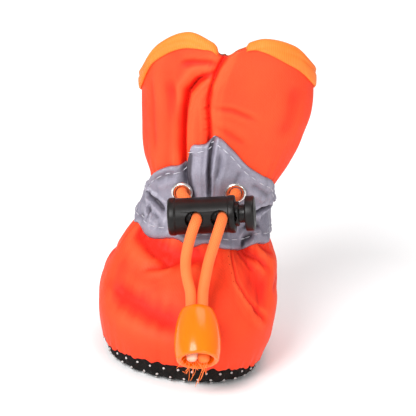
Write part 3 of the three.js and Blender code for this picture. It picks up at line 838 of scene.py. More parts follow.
@dataclass(frozen=True)
class Crease:
    """A fold, ridge or seam pressed into the shell along a line of places.

    Attributes:
        name: What it is on the boot.
        turn: Degrees from the toe at each place.
        rise: Height of each place, as a share of the boot's height.
        depth: As a share of the ball's width; plus stands out.
        width: As a share of the ball's width.
        lip: Share of the depth that the cloth beside it rises against it.
        lean: From -1 to 1: which side is steep. Plus is steep on the right of the line's way.
        fade: Share of the line over which each end runs out.
        step: How much the cloth right of the line's way stands higher, as a share of the depth.
        crisp: Whether the fold has a narrow bottom.
    """

    name: str
    turn: tuple[float, ...]
    rise: tuple[float, ...]
    depth: float
    width: float
    lip: float = 0.0
    lean: float = 0.0
    fade: float = 0.0
    step: float = 0.0
    crisp: bool = True

    def push(self, turn: Array, z: Array, girth: float, height: float, ball: float) -> Array:
        """How far the crease pushes the cloth out.

        Args:
            turn: Angles from the toe, in radians.
            z: Heights in millimetres.
            girth: Length round the boot for one radian.
            height: The boot's height.
            ball: The ball's width.

        Returns:
            Lengths in millimetres.
        """
        line_x = np.radians(self.turn) * girth
        line_z = np.array(self.rise) * height
        middle = (line_x.min() + line_x.max()) / 2 / girth
        x = (turn + 2 * np.pi * np.round((middle - turn) / (2 * np.pi))) * girth
        lengths = np.hypot(np.diff(line_x), np.diff(line_z))
        off = np.full(x.shape, 1e9)
        side = np.zeros(x.shape)
        share = np.zeros(x.shape)
        done = 0.0
        for n, length in enumerate(lengths):
            step_x, step_z = line_x[n + 1] - line_x[n], line_z[n + 1] - line_z[n]
            near_x, near_z = x - line_x[n], z - line_z[n]
            t = np.clip((near_x * step_x + near_z * step_z) / length**2, 0, 1)
            away = np.hypot(near_x - t * step_x, near_z - t * step_z)
            closer = away < off
            off = np.where(closer, away, off)
            side = np.where(closer, (near_x * step_z - near_z * step_x) / (length * (away + 0.3)), side)
            share = np.where(closer, (done + t * length) / lengths.sum(), share)
            done += length
        spread = off / (self.width * ball * (1 - self.lean * np.clip(side, -1, 1)))
        bottom = np.exp(-1.7 * (np.sqrt(spread**2 + 0.02) - 0.14)) if self.crisp else np.exp(-(spread**2))
        shape = bottom - self.lip * np.exp(-(((spread - 2.0) / 0.8) ** 2))
        shape = shape - self.step * 0.5 * (1 + np.tanh(6 * side * spread)) * np.exp(-((spread / 5.0) ** 2))
        if self.fade:
            ends = np.clip(np.minimum(share, 1 - share) / self.fade, 0, 1)
            shape = shape * (0.15 + 0.85 * ends * ends * (3 - 2 * ends))
        return self.depth * ball * shape


SHAFT_SEAM = (
    (1, -1, -2.2, -3.2, -4.8, -5.2, -4.8, -2.8, 0.2, 0.5),
    (0.49, 0.6, 0.684, 0.715, 0.758, 0.79, 0.833, 0.877, 0.925, 0.97),
)
BIG_FOLDS = (
    Crease("shaft seam", *SHAFT_SEAM, -0.026, 0.017, 0.1, 0.0, 0.0, 0.5),
    Crease(
        "left shaft trough", (-16.5, -18.6, -20.2, -21.2, -21.8, -21.6, -20, -14, -5),
        (0.46, 0.54, 0.6, 0.64, 0.69, 0.745, 0.8, 0.84, 0.872), -0.08, 0.024, 0.1, 0.4, 0.14,
    ),
    Crease("roll beside the seam", (-9, -12, -12.5, -11), (0.5, 0.68, 0.76, 0.83), 0.018, 0.055, crisp=False),
    Crease("left shaft ridge", (-46, -50), (0.5, 0.88), 0.012, 0.09, crisp=False),
    Crease("right shaft swell", (32, 30), (0.56, 0.9), 0.024, 0.22, crisp=False),
    Crease(
        "fold below the band", (-68, -38, -19, -6), (0.352, 0.34, 0.328, 0.334), -0.042, 0.045, crisp=False
    ),
    Crease(
        "trough on the vamp", (-66, -46, -24, 4), (0.206, 0.209, 0.203, 0.188), -0.04, 0.062, fade=0.25,
        crisp=False,
    ),
    Crease("hollow beside the vamp seam", (43, 49, 58), (0.36, 0.3, 0.262), -0.055, 0.1, crisp=False),
    Crease("hollow on the left instep", (-58, -44, -26), (0.262, 0.268, 0.268), -0.016, 0.075, crisp=False),
    Crease("heel slump", (150, 205), (0.33, 0.33), -0.03, 0.07, crisp=False),
    Crease("back shaft fold", (168, 176), (0.5, 0.8), -0.03, 0.07, crisp=False),
)
FINE_CREASES = (
    Crease("shaft seam line", *SHAFT_SEAM, -0.014, 0.008, 0.2),
    Crease(
        "beside the left trough", (-23, -26, -28.5, -32.5, -37), (0.57, 0.634, 0.707, 0.778, 0.838), -0.016,
        0.045, 0.0, 0.2, 0.2, crisp=False,
    ),
    Crease(
        "dip below the binding", (-31, -19.5, -8, -1), (0.882, 0.895, 0.902, 0.902), -0.015, 0.02, 0.1, 0,
        0.25, crisp=False,
    ),
    Crease("pucker across the seam", (-3.7, 8.2, 24), (0.767, 0.765, 0.74), -0.008, 0.015, 0.25, 0, 0.3),
    Crease("lower pucker", (-2, 6.5, 20.5), (0.714, 0.692, 0.659), -0.006, 0.022, 0.2, 0, 0.3),
    Crease("short pucker", (-8.5, -4), (0.762, 0.761), -0.009, 0.009, 0.3, 0, 0.3),
    Crease("short lower pucker", (-7.3, -3.2), (0.728, 0.726), -0.007, 0.009, 0.3, 0, 0.3),
    Crease("short low pucker", (-6.5, -2), (0.692, 0.696), -0.005, 0.008, 0.3, 0, 0.3),
    Crease("left edge fold", (-56, -52, -50), (0.84, 0.677, 0.554), -0.009, 0.045, 0.1, 0, 0.3),
    Crease("right edge turn", (53, 50, 45), (0.87, 0.776, 0.666), -0.014, 0.07, 0.0, 0, 0.3, crisp=False),
    Crease("far right fold", (98, 92, 90), (0.84, 0.68, 0.52), -0.016, 0.055, 0.2, 0, 0.3),
    Crease("far left fold", (-96, -92, -88), (0.78, 0.64, 0.52), -0.016, 0.05, 0.2, 0, 0.3),
    Crease("back left fold", (-140, -134, -128), (0.76, 0.64, 0.52), -0.018, 0.05, 0.25, 0, 0.3),
    Crease("back right fold", (140, 132, 128), (0.78, 0.66, 0.53), -0.018, 0.05, 0.25, 0, 0.3),
    Crease(
        "low edge of the band fold", (-52, -32, -16), (0.336, 0.318, 0.309), -0.012, 0.018, 0.2, -0.3, 0.25
    ),
    Crease("left instep fold", (-38.5, -25.8, -14), (0.286, 0.298, 0.318), -0.018, 0.016, 0.25, 0.3, 0.3),
    Crease(
        "soft trough on the left", (-71, -49, -33, -20), (0.212, 0.222, 0.22, 0.212), -0.01, 0.028, 0.0, 0.3,
        0.3, crisp=False,
    ),
    Crease(
        "vamp seam", (27.2, 27.5, 29.8, 40, 62), (0.365, 0.324, 0.288, 0.247, 0.192), -0.012, 0.009, 0.4, 0.0,
        0.1, 0.5,
    ),
    Crease("right instep fold", (39, 58.5, 72), (0.365, 0.335, 0.3), -0.022, 0.02, 0.3, 0, 0.25),
    Crease("right upper fold", (34, 42.5, 53), (0.365, 0.34, 0.308), -0.012, 0.014, 0.3, 0, 0.25),
    Crease("right side gather", (60, 77, 92), (0.364, 0.337, 0.318), -0.016, 0.018, 0.3, 0, 0.3),
    Crease("low right streak", (43.5, 53.5, 66), (0.232, 0.207, 0.175), -0.016, 0.018, 0.25, 0, 0.3),
    Crease("right side slump", (72, 88, 104), (0.24, 0.25, 0.24), -0.016, 0.05, 0.2, 0, 0.3),
    Crease("left side slump", (-120, -100, -84), (0.24, 0.26, 0.25), -0.018, 0.05, 0.2, 0, 0.3),
    Crease("heel fold", (150, 172, 196), (0.27, 0.262, 0.275), -0.018, 0.04, 0.3, 0, 0.25),
    Crease("low heel fold", (158, 180, 200), (0.16, 0.15, 0.162), -0.01, 0.05, 0.2, 0, 0.3),
    Crease("heel side fold", (116, 132, 148), (0.31, 0.3, 0.312), -0.014, 0.03, 0.3, 0, 0.3),
    Crease("heel side fold left", (-150, -132, -112), (0.312, 0.3, 0.31), -0.014, 0.03, 0.3, 0, 0.3),
    Crease("crease under the lock", (-6, 4, 16), (0.34, 0.33, 0.342), -0.018, 0.03, 0.2, 0, 0.3, crisp=False),
)
BAND_CREASES = (
    Crease(
        "dark wedge on the left", (-78, -62, -48, -40), (0.44, 0.436, 0.424, 0.416), -0.036, 0.016, 0.4, 0,
        0.2,
    ),
    Crease("fold under the wedge", (-70, -56, -42), (0.405, 0.4, 0.392), -0.016, 0.016, 0.4, 0, 0.2),
    Crease("upright fold on the left", (-60, -62, -66), (0.37, 0.41, 0.48), -0.018, 0.022, 0.4, 0, 0.2),
    Crease(
        "deep fold beside the tab", (-16.4, -15.4, -13, -11), (0.62, 0.55, 0.49, 0.45), -0.12, 0.026, 0.0,
        0.4, 0.05,
    ),
    Crease("seam through the tab", (2.8, 0.2, -0.2, 0.2), (0.48, 0.566, 0.65, 0.69), -0.05, 0.0085, 0.3),
    Crease("crease on the tab", (4.8, 5.4, 4.2), (0.54, 0.59, 0.635), -0.014, 0.014, 0.4, 0, 0.2),
    Crease("soft fold right of the tab", (14, 18, 20), (0.48, 0.53, 0.59), -0.012, 0.03, 0.2, 0, 0.2),
    Crease("right edge fold", (86, 74, 60, 50), (0.47, 0.452, 0.446, 0.43), -0.034, 0.016, 0.4, 0, 0.2),
    Crease("right lower fold", (66, 52, 38), (0.396, 0.408, 0.398), -0.03, 0.018, 0.4, 0, 0.25),
    Crease("right tuck at the edge", (40, 44, 54), (0.36, 0.378, 0.384), -0.03, 0.018, 0.4, 0, 0.2),
    Crease("right upper fold", (30, 44, 58), (0.543, 0.52, 0.497), -0.014, 0.02, 0.4, 0, 0.2),
    Crease("left lower fold", (-86, -54, -33), (0.378, 0.384, 0.374), -0.012, 0.018, 0.4, 0, 0.2),
    Crease("left upper fold", (-52, -34, -24), (0.5, 0.53, 0.54), -0.014, 0.022, 0.4, 0, 0.2),
    Crease("gather by the left ring", (-38, -30), (0.44, 0.41), -0.014, 0.02, 0.4, 0, 0.2),
    Crease("gather by the right ring", (34, 27), (0.45, 0.4), -0.014, 0.02, 0.4, 0, 0.2),
    Crease("side gather", (-112, -106), (0.36, 0.47), -0.026, 0.024, 0.4, 0, 0.2),
    Crease("side gather two", (-134, -138), (0.36, 0.47), -0.026, 0.024, 0.4, 0, 0.2),
    Crease("side gather three", (104, 110), (0.36, 0.47), -0.026, 0.024, 0.4, 0, 0.2),
    Crease("side gather four", (132, 128), (0.36, 0.48), -0.026, 0.024, 0.4, 0, 0.2),
    Crease("back gather", (160, 156), (0.36, 0.49), -0.026, 0.024, 0.4, 0, 0.2),
    Crease("back gather two", (184, 190), (0.36, 0.48), -0.026, 0.024, 0.4, 0, 0.2),
)


@dataclass(frozen=True)
class Last:
    """The form that the boot is made on, as the frame's source states it."""

    foot_length: float = 56.0
    ball_width: float = 49.0
    instep_height: float = 33.0
    ankle_height: float = 47.0
    height: float = 92.0
    wall: float = 1.6
    gap: float = 0.3
    binding_thickness: float = 0.8
    sole_edge: tuple[float, float, float] = (3.6, 6.6, 4.4)
    crowding: float = 0.35
    fold_round: float = 0.9
    # Each row: rise, front, widest place, back, left, right, squareness
    foot: tuple[tuple[float, ...], ...] = (
        (0.0, 0.03, 0.44, 0.965, 0.84, 0.79, 2.2),
        (0.12, 0.009, 0.44, 0.982, 0.935, 0.865, 2.25),
        (0.27, 0.0, 0.44, 0.996, 1.016, 0.93, 2.3),
        (0.42, 0.018, 0.45, 1.0, 1.047, 0.943, 2.3),
        (0.56, 0.08, 0.46, 0.996, 1.037, 0.939, 2.25),
        (0.71, 0.187, 0.5, 0.986, 0.976, 0.922, 2.2),
        (0.85, 0.289, 0.54, 0.971, 0.865, 0.861, 2.15),
        (1.0, 0.4, 0.59, 0.961, 0.727, 0.739, 2.1),
    )
    shaft: tuple[tuple[float, ...], ...] = (
        (0.06, 0.461, 0.64, 0.952, 0.649, 0.686, 2.1),
        (0.127, 0.504, 0.696, 0.946, 0.616, 0.669, 2.1),
        (0.203, 0.525, 0.723, 0.948, 0.661, 0.735, 2.15),
        (0.305, 0.532, 0.732, 0.957, 0.759, 0.841, 2.2),
        (0.44, 0.536, 0.732, 0.961, 0.812, 0.963, 2.2),
        (0.6, 0.539, 0.732, 0.957, 0.869, 1.05, 2.2),
        (0.763, 0.546, 0.732, 0.946, 0.906, 1.02, 2.2),
        (1.0, 0.557, 0.732, 0.932, 0.86, 0.95, 2.2),
    )
    collar: tuple[tuple[float, float], ...] = (
        (-180, 0.832), (-140, 0.812), (-104, 0.8), (-76, 0.842), (-54, 0.929), (-28, 0.983), (-8, 0.965),
        (0, 0.94), (8, 0.968), (25, 0.996), (51, 0.975), (78, 0.918), (120, 0.853), (180, 0.832),
    )  # fmt: skip
    band: tuple[tuple[float, float], ...] = (
        (-180, 0.2), (-90, 0.14), (-72, 0.18), (-50, 0.262), (-32, 0.312), (-17, 0.345), (-14.5, 0.43),
        (-8, 0.45),
        (-2.5, 0.462), (0.8, 0.505), (10, 0.458), (22, 0.385), (38, 0.33), (55, 0.288), (78, 0.2),
        (110, 0.18), (180, 0.2),
    )  # fmt: skip

    def sections(self) -> Array:
        """The two section tables as one, in millimetres."""
        parts = []
        foot = (self.foot, 0.0, self.instep_height)
        shaft = (self.shaft, self.instep_height, self.height)
        for rows, low, high in (foot, shaft):
            part = np.array(rows)
            part[:, 0] = low + part[:, 0] * (high - low)
            part[:, 1:4] = (part[:, 1:4] - 0.5) * self.foot_length
            part[:, 4:6] *= self.ball_width / 2
            parts.append(part)
        return np.vstack(parts)

    @staticmethod
    def along(place: Array, value: Array, at: Array) -> Array:
        """Value of a table's column on a smooth curve through its rows.

        Args:
            place: Where the rows stand.
            value: Their values.
            at: Where the value is wanted.

        Returns:
            The values there.
        """
        x = np.clip(at, place[0], place[-1])
        last = len(place) - 1
        i = np.clip(np.searchsorted(place, x, side="right") - 1, 0, last - 1)
        k = np.arange(len(place))
        a, b = np.maximum(k - 1, 0), np.minimum(k + 1, last)
        slope = (value[b] - value[a]) / (place[b] - place[a])
        span = place[i + 1] - place[i]
        s = (x - place[i]) / span
        start = (1 + 2 * s) * (1 - s) ** 2 * value[i] + s * (1 - s) ** 2 * span * slope[i]
        end = s**2 * (3 - 2 * s) * value[i + 1] + s**2 * (s - 1) * span * slope[i + 1]
        return start + end

    def columns(self, count: int) -> Array:
        """Angles of the columns round the boot, closer together at the front."""
        even = np.linspace(-np.pi, np.pi, count, endpoint=False)
        return even - self.crowding * np.sin(even)

    def point(self, turn: Array, z: Array) -> Array:
        """Points of the bare last at angles in radians and heights in millimetres."""
        turn, z = np.broadcast_arrays(np.asarray(turn, float), np.asarray(z, float))
        rows = self.sections()
        front, wide, back, left, right, square = (self.along(rows[:, 0], rows[:, c], z) for c in range(1, 7))
        across, ahead = np.sin(turn), np.cos(turn)
        side = np.where(across < 0, left, right)
        reach = np.where(ahead > 0, wide - front, back - wide)
        power = 2 / square
        x = np.sign(across) * side * np.abs(across) ** power
        y = wide - np.sign(ahead) * reach * np.abs(ahead) ** power
        return np.stack([x, y, z], -1)

    def normal(self, turn: Array, z: Array) -> Array:
        """The way out of the bare last."""
        turn_step, height_step = 0.02, 0.4
        around = self.point(turn + turn_step, z) - self.point(turn - turn_step, z)
        up = self.point(turn, z + height_step) - self.point(turn, z - height_step)
        out = np.cross(around, up)
        return out / np.linalg.norm(out, axis=-1, keepdims=True)

    def push(self, turn: Array, z: Array, creases: Sequence[Crease] = BIG_FOLDS + FINE_CREASES) -> Array:
        """How far creases push the cloth out, in millimetres."""
        turn, z = np.broadcast_arrays(np.asarray(turn, float), np.asarray(z, float))
        girth = self.ball_width / 2 * self.fold_round
        total = np.zeros(turn.shape)
        for crease in creases:
            total += crease.push(turn, z, girth, self.height, self.ball_width)
        return total

    @staticmethod
    def ripple(place: Array, wave: float, seed: int, waves: int = 14) -> Array:
        """A smooth random height over places, about -1 to 1.

        Args:
            place: Places in millimetres.
            wave: Typical length of a wave.
            seed: Fixes the choice.
            waves: How many waves are added.

        Returns:
            The heights.
        """
        chance = np.random.default_rng(seed)
        total = np.zeros(place.shape[:-1])
        for _ in range(waves):
            way = chance.normal(size=3)
            way *= 2 * np.pi / (wave * chance.uniform(0.7, 1.6)) / np.linalg.norm(way)
            total += np.sin(place @ way + chance.uniform(0, 2 * np.pi))
        return total / math.sqrt(waves)

    def gather(self, turn: Array, z: Array) -> Array:
        """Small gathers along the sole's edge, and above and below the drawn-in ankle, in millimetres."""
        climb = np.clip(z - self.hem(turn), 0, None)
        beat = np.sin(turn * 31 + 1.3 * np.sin(turn * 7) + 0.12 * climb)
        beat = beat + 0.6 * np.sin(turn * 53 + 2 * np.sin(turn * 5))
        total = 0.16 * np.exp(-climb / 2.6) * beat
        low, high = self.instep_height, self.band_top(turn)
        away = np.maximum(np.maximum(low - z, z - high), 0.0)
        calm = 1 - 0.75 * np.exp(-((np.degrees(turn) / 50) ** 4))
        lean = 0.05 * away * np.sin(turn * 3)
        pleat = np.sin(turn * 17 + lean + 1.6 * np.sin(turn * 4 + 1))
        pleat = pleat + 0.7 * np.sin(turn * 29 - lean + 2 * np.sin(turn * 3))
        return total + 0.3 * calm * (np.abs(pleat) - 0.7) * np.exp(-away / 5.5)

    def shell(self, turn: Array, z: Array, off: Array | float = 0.0) -> Array:
        """Points of the creased shell, or of a face that lies off it."""
        bare = self.point(turn, z)
        lift = self.push(turn, z) + self.gather(turn, z) + 0.13 * self.ripple(bare, 9.0, 3) + off
        return bare + self.normal(turn, z) * lift[..., None]

    def outward(self, turn: Array, z: Array) -> Array:
        """The way out of the creased shell."""
        around = self.shell(turn + 0.012, z) - self.shell(turn - 0.012, z)
        up = self.shell(turn, z + 0.3) - self.shell(turn, z - 0.3)
        out = np.cross(around, up)
        return out / np.linalg.norm(out, axis=-1, keepdims=True)

    def _table(self, rows: tuple[tuple[float, float], ...], turn: Array) -> Array:
        """A height table read at angles in radians."""
        table = np.array(rows)
        degrees = (np.degrees(turn) + 180) % 360 - 180
        return self.along(table[:, 0], table[:, 1], degrees)

    def hem(self, turn: Array) -> Array:
        """Height of the sole's edge."""
        side, toe, heel = self.sole_edge
        end = np.where(np.cos(turn) > 0, toe, heel)
        return side + (end - side) * np.cos(turn) ** 2

    def rim(self, turn: Array) -> Array:
        """Height of the shell's upper edge."""
        return self.height * self._table(self.collar, turn) - 2 * self.gap - self.binding_thickness

    def band_top(self, turn: Array) -> Array:
        """Height of the ankle band's upper edge."""
        return self.instep_height + (self.height - self.instep_height) * self._table(self.band, turn)

    def middle(self) -> float:
        """Place along Y of the widest part at the floor."""
        return float(self.point(np.array(np.pi / 2), np.array(0.0))[1])


# Soft pieces


def hollow(lift: Array) -> Array:
    """How much lower (minus) or higher each point lies than the cloth a few millimetres round it.

    Args:
        lift: Height of each point, as rows by columns.

    Returns:
        Values from -1 to 1, from which the cloth finishes paint shade into hollows and light onto rises.
    """
    rows = np.arange(len(lift))
    beside = [np.roll(lift, k, axis=1) for k in (-9, -5, 5, 9)]
    above = [lift[np.clip(rows + k, 0, len(lift) - 1)] for k in (-9, -5, 5, 9)]
    return np.clip(1.1 * (lift - np.mean(beside + above, axis=0)) + 0.12 * lift, -1, 1)


@dataclass
class Upper:
    """The shell from the sole's edge to the collar, with its lining face, seams and needle holes."""

    last: Last
    columns: int = 340
    rows: int = 210
    lining_rows: int = 36
    vamp_turns: tuple[float, ...] = (27.2, 27.5, 29.8, 40, 60)
    vamp_rises: tuple[float, ...] = (0.355, 0.324, 0.288, 0.247, 0.197)
    hole_shift: float = 3.2
    hole_pitch: float = 2.3
    hole_size: tuple[float, float, float] = (0.45, 0.22, 0.08)

    def build(self) -> bpy.types.Object:
        """Builds and dresses the shell."""
        turn = self.last.columns(self.columns)[None, :]
        outer = self._face(turn, self.rows, 0.0)
        inner = self._face(turn, self.lining_rows, -self.last.wall)[::-1]
        # The lining face is set 0.25 lower in the fold attribute, so the finish paints shade on the inside of
        # the shell.
        fold = np.vstack([self._fold(turn, self.rows), self._fold(turn, self.lining_rows)[::-1] - 0.25])
        piece = loft("upper_shell", np.vstack([outer, inner]), fold=fold)
        piece.data.materials.append(ShellCloth().material())
        return settle(piece, ["upper"])

    def _heights(self, turn: Array, rows: int) -> Array:
        """Heights of the rows, from the hem to the rim."""
        scallop = 0.22 * np.sin(turn * 37 + 2.0 * np.sin(turn * 5))
        scallop = scallop + 0.16 * np.sin(turn * 61 + 1.5 * np.sin(turn * 9))
        hem, rim = self.last.hem(turn) - 0.35 + scallop, self.last.rim(turn)
        return hem + (rim - hem) * np.linspace(0, 1, rows)[:, None]

    def _face(self, turn: Array, rows: int, off: float) -> Array:
        """Points of one face of the shell, puffed out over the sole's lip."""
        z = self._heights(turn, rows)
        climb = z - z[0]
        puff = 0.55 * np.exp(-climb / 1.6) - 0.5 * np.exp(-climb / 0.28)
        return self.last.shell(turn, z, off + puff)

    def _fold(self, turn: Array, rows: int) -> Array:
        """How deep in a fold (minus) or high on a roll (plus) each point lies."""
        return hollow(self.last.push(turn, self._heights(turn, rows)))

    def needle_holes(self, graph: Graph, finish: bpy.types.Material) -> None:
        """Sets needle holes beside the seam of the vamp, as flat beads whose dark red is painted shade.

        Args:
            graph: The tree for rows of beads.
            finish: Their material.
        """
        spots = 60
        share, at = np.linspace(0, 1, spots), np.linspace(0, 1, len(self.vamp_turns))
        turn = np.radians(np.interp(share, at, self.vamp_turns) - self.hole_shift)
        z = np.interp(share, at, self.vamp_rises) * self.last.height
        path = trail(self.last.shell(turn, z, 0.0), self.last.outward(turn, z), [(0, spots)])
        size = tuple(side * MM for side in self.hole_size)
        values = {
            "Pitch": self.hole_pitch * MM, "Size": size, "Variation": 0.2, "Seed": 5, "Material": finish
        }
        settle(graph.grow("needle_holes_vamp", path, values))


@dataclass
class AnkleBand:
    """Reflective tape round the ankle, crumpled by the drawcord, with a topstitch along both edges."""

    last: Last
    thickness: float = 0.8
    puff: float = 0.5
    crumple: float = 0.3
    columns: int = 320
    rows: int = 46
    ring_clear: float = 4.0
    stitch_pitch: float = 2.9
    stitch_size: tuple[float, float, float] = (2.1, 0.3, 0.3)
    stitch_break: tuple[float, float] = (-17.6, -13.8)
    margins: tuple[float, float] = (1.8, 1.7)
    rings: tuple[tuple[float, float, float], ...] = ((-6.56, 0.44, 45.17), (7.9, 0.73, 47.04))

    def build(self) -> bpy.types.Object:
        """Builds and dresses the band."""
        turn = self.last.columns(self.columns)[None, :]
        low, high = self.low(turn), self.last.band_top(turn)
        share = np.linspace(0, 1, self.rows)[:, None]
        z = low + (high - low) * share
        outer = self.face(turn, z)
        back = low + (high - low) * np.linspace(1, 0, 8)[:, None]
        inner = self.last.shell(turn, back, 0.1)
        fold = np.vstack([self._fold(turn, z), np.zeros(back.shape)])
        piece = loft("ankle_band_tape", np.vstack([outer, inner]), fold=fold)
        piece.data.materials.append(ReflectiveTape().material())
        return settle(piece, ["ankle_band"])

    def low(self, turn: Array) -> Array:
        """Height of the tape's lower edge, which the gathers pull about a little."""
        return self.last.instep_height + 0.4 * np.sin(turn * 9 + 1.2 * np.sin(turn * 4)) - 0.2

    def relief(self, turn: Array, z: Array) -> Array:
        """How far the tape's face stands off the shell, in millimetres."""
        place = self.last.point(turn, z)
        bridge = 0.75 * np.clip(-self.last.push(turn, z, BIG_FOLDS[:1]), 0, None)
        crumple = self.puff + bridge + self.last.push(turn, z, BAND_CREASES)
        crumple = crumple + self.crumple * self.last.ripple(place, 8.0, 11)
        for ring in self.rings:
            away = np.linalg.norm(place - np.array(ring), axis=-1)
            crumple = crumple * (1 - np.exp(-((away / self.ring_clear) ** 4)))
        return self.last.gap + self.thickness + np.maximum(crumple, -0.75)

    def face(self, turn: Array, z: Array) -> Array:
        """Points of the tape's face."""
        turn, z = np.broadcast_arrays(turn, z)
        edge = np.minimum(z - self.low(turn), self.last.band_top(turn) - z)
        tuck = 0.45 * np.exp(-np.clip(edge, 0, None) / 0.35) + 0.2 * np.exp(-(((edge - 1.8) / 0.45) ** 2))
        return self.last.shell(turn, z, self.relief(turn, z) - tuck)

    def _fold(self, turn: Array, z: Array) -> Array:
        """Depth in the tape's own folds, and in the shell's below it."""
        return hollow(self.last.push(turn, z, BAND_CREASES) + 0.4 * self.last.push(turn, z))

    def topstitch(self, graph: Graph, finish: bpy.types.Material) -> None:
        """Sews a row of white stitches along both edges.

        Args:
            graph: The tree for rows of beads.
            finish: The thread.
        """
        turn = self.last.columns(900)
        degrees = np.degrees(turn)
        whole = (degrees < self.stitch_break[0]) | (degrees > self.stitch_break[1])
        start = int(np.argmin(whole))
        turn = np.roll(turn, -start)[np.roll(whole, -start)]
        upper, lower = self.margins
        rows = {"upper": self.last.band_top(turn) - upper, "lower": self.low(turn) + lower}
        size = tuple(side * MM for side in self.stitch_size)
        for name, z in rows.items():
            face = self.face(turn, z)
            out = self.last.outward(turn, z)
            path = trail(face + out * 0.12, out, [(0, len(turn))])
            values = {
                "Pitch": self.stitch_pitch * MM, "Size": size, "Variation": 0.08, "Seed": 8,
                "Material": finish,
            }
            settle(graph.grow(f"band_topstitch_{name}", path, values))


@dataclass
class CollarBinding:
    """Folded ribbon over the collar's rim, pinched away at the front notch."""

    last: Last
    thickness: float = 0.8
    inner_width: float = 5.0
    tuck_drop: float = 1.6
    columns: int = 360
    stitch_pitch: float = 2.2
    stitch_size: tuple[float, float, float] = (1.7, 0.26, 0.24)
    narrowest_sewn: float = 2.2
    widths: tuple[tuple[float, float], ...] = (
        (-180, 5.0), (-90, 5.0), (-60, 4.4), (-40, 3.6), (-24, 2.8), (-14, 1.6), (-9, 0.8), (-5, 0.3),
        (0, 0.2), (10, 0.2),
        (13, 0.35), (18, 1.0), (25, 2.1), (37, 3.7), (48, 4.6), (60, 5.0), (100, 5.2), (180, 5.0),
    )  # fmt: skip

    def build(self) -> bpy.types.Object:
        """Builds and dresses the ribbon."""
        turn = self.last.columns(self.columns)
        rim = self.last.rim(turn)
        width = self._width(turn)
        gap, skin, wall = 0.12, 0.12 + self.thickness * 0.75, self.last.wall
        away = self._tuck(turn)
        rings = []
        for share in np.linspace(0, 1, 12):
            pinch = 0.28 * np.exp(-(((width * (1 - share) - 1.0) / 0.5) ** 2)) + 0.3 * math.exp(-share / 0.03)
            off = skin + 0.18 * math.sin(math.pi * share) - pinch
            rings.append(
                self.last.shell(
                    turn, rim - width * (1 - share) - self.tuck_drop * away, off - (wall + off + 0.5) * away
                )
            )
        reach = wall / 2 + skin
        for way in np.linspace(0, np.pi, 11)[1:-1]:
            lift = (2 * self.last.gap + self.thickness * math.sin(way)) * math.sin(way)
            off = -wall / 2 + reach * math.cos(way)
            rings.append(
                self.last.shell(
                    turn, rim + lift - (self.tuck_drop + lift) * away,
                    off - np.clip(wall + off + 0.4, 0, None) * away,
                )
            )
        inside = np.full(turn.shape, self.inner_width)
        for share in np.linspace(0, 1, 8):
            rings.append(self.last.shell(turn, rim - inside * share, -wall - skin))
        for share in np.linspace(1, 0, 4):
            rings.append(self.last.shell(turn, rim - inside * share, -wall - gap))
        for share in np.linspace(0, 1, 4):
            rings.append(
                self.last.shell(
                    turn, rim + 0.3 - (width + 0.3) * share - 1.9 * away, gap - (wall + gap + 0.2) * away
                )
            )
        piece = loft("collar_ribbon", np.array(rings))
        piece.data.materials.append(Ribbon().material())
        return settle(piece, ["collar_binding"])

    def _tuck(self, turn: Array) -> Array:
        """How far the notch has pulled the ribbon inside, from 0 to 1."""
        degrees = (np.degrees(turn) + 180) % 360 - 180
        near = np.clip((degrees + 5) / 4, 0, 1) * np.clip((14 - degrees) / 5, 0, 1)
        return near * near * (3 - 2 * near)

    def _width(self, turn: Array) -> Array:
        """Width of the ribbon's outer half."""
        table = np.array(self.widths)
        return self.last.along(table[:, 0], table[:, 1], (np.degrees(turn) + 180) % 360 - 180)

    def stitches(self, graph: Graph, finish: bpy.types.Material) -> None:
        """Sews the ribbon down with one row of its own colour.

        Args:
            graph: The tree for rows of beads.
            finish: The thread.
        """
        turn = self.last.columns(1000)
        keep = self._width(turn) > self.narrowest_sewn
        start = int(np.argmin(keep))
        turn, keep = np.roll(turn, -start), np.roll(keep, -start)
        turn = turn[keep]
        z = self.last.rim(turn) - self._width(turn) + 1.0
        out = self.last.outward(turn, z)
        path = trail(self.last.shell(turn, z, 0.56) + out * 0.02, out, [(0, len(turn))])
        size = tuple(side * MM for side in self.stitch_size)
        values = {
            "Pitch": self.stitch_pitch * MM, "Size": size, "Variation": 0.08, "Seed": 9, "Material": finish
        }
        settle(graph.grow("binding_stitches", path, values))


@dataclass(frozen=True)
class Filling:
    """Soft filling that a cloth simulation presses against a sewn cover from inside.

    Attributes:
        swell: How far the cover is drawn in, and how far a point may then move, in millimetres.
        pressure: Pressure inside the cover.
        steps: Frames of the simulation.
    """

    swell: float = 0.15
    pressure: float = 4.0
    steps: int = 20

    def fill(self, piece: bpy.types.Object, lowest: float) -> None:
        """Draws the cover in, swells it again, and applies the result.

        Args:
            piece: The sewn cover, closed.
            lowest: Height of what it rests on, in millimetres.
        """
        mesh = piece.data
        rest, outward = np.empty(3 * len(mesh.vertices)), np.empty(3 * len(mesh.vertices))
        mesh.vertices.foreach_get("co", rest)
        mesh.vertices.foreach_get("normal", outward)
        start = rest - outward * self.swell * MM
        mesh.vertices.foreach_set("co", start)
        mesh.update()
        cloth = piece.modifiers.new("filling", "CLOTH")
        cloth.settings.use_pressure = True
        cloth.settings.uniform_pressure_force = self.pressure
        cloth.settings.effector_weights.gravity = 0.0
        for step in range(1, self.steps + 1):
            bpy.context.scene.frame_set(step)
        blown = np.empty(len(start))
        piece.evaluated_get(bpy.context.evaluated_depsgraph_get()).data.vertices.foreach_get("co", blown)
        piece.modifiers.remove(cloth)
        bpy.context.scene.frame_set(1)
        start, move = start.reshape(-1, 3), (blown - start).reshape(-1, 3)
        far = np.linalg.norm(move, axis=1, keepdims=True)
        place = start + move * np.minimum(1, self.swell * MM / np.maximum(far, 1e-9))
        place[:, 2] = np.maximum(place[:, 2], lowest * MM)
        mesh.vertices.foreach_set("co", place.ravel())
        mesh.update()
        held = 100 * float((far > self.swell * MM).mean())
        LOG.info("%s: filled, %.0f percent of its points held at %.2f mm", piece.name, held, self.swell)


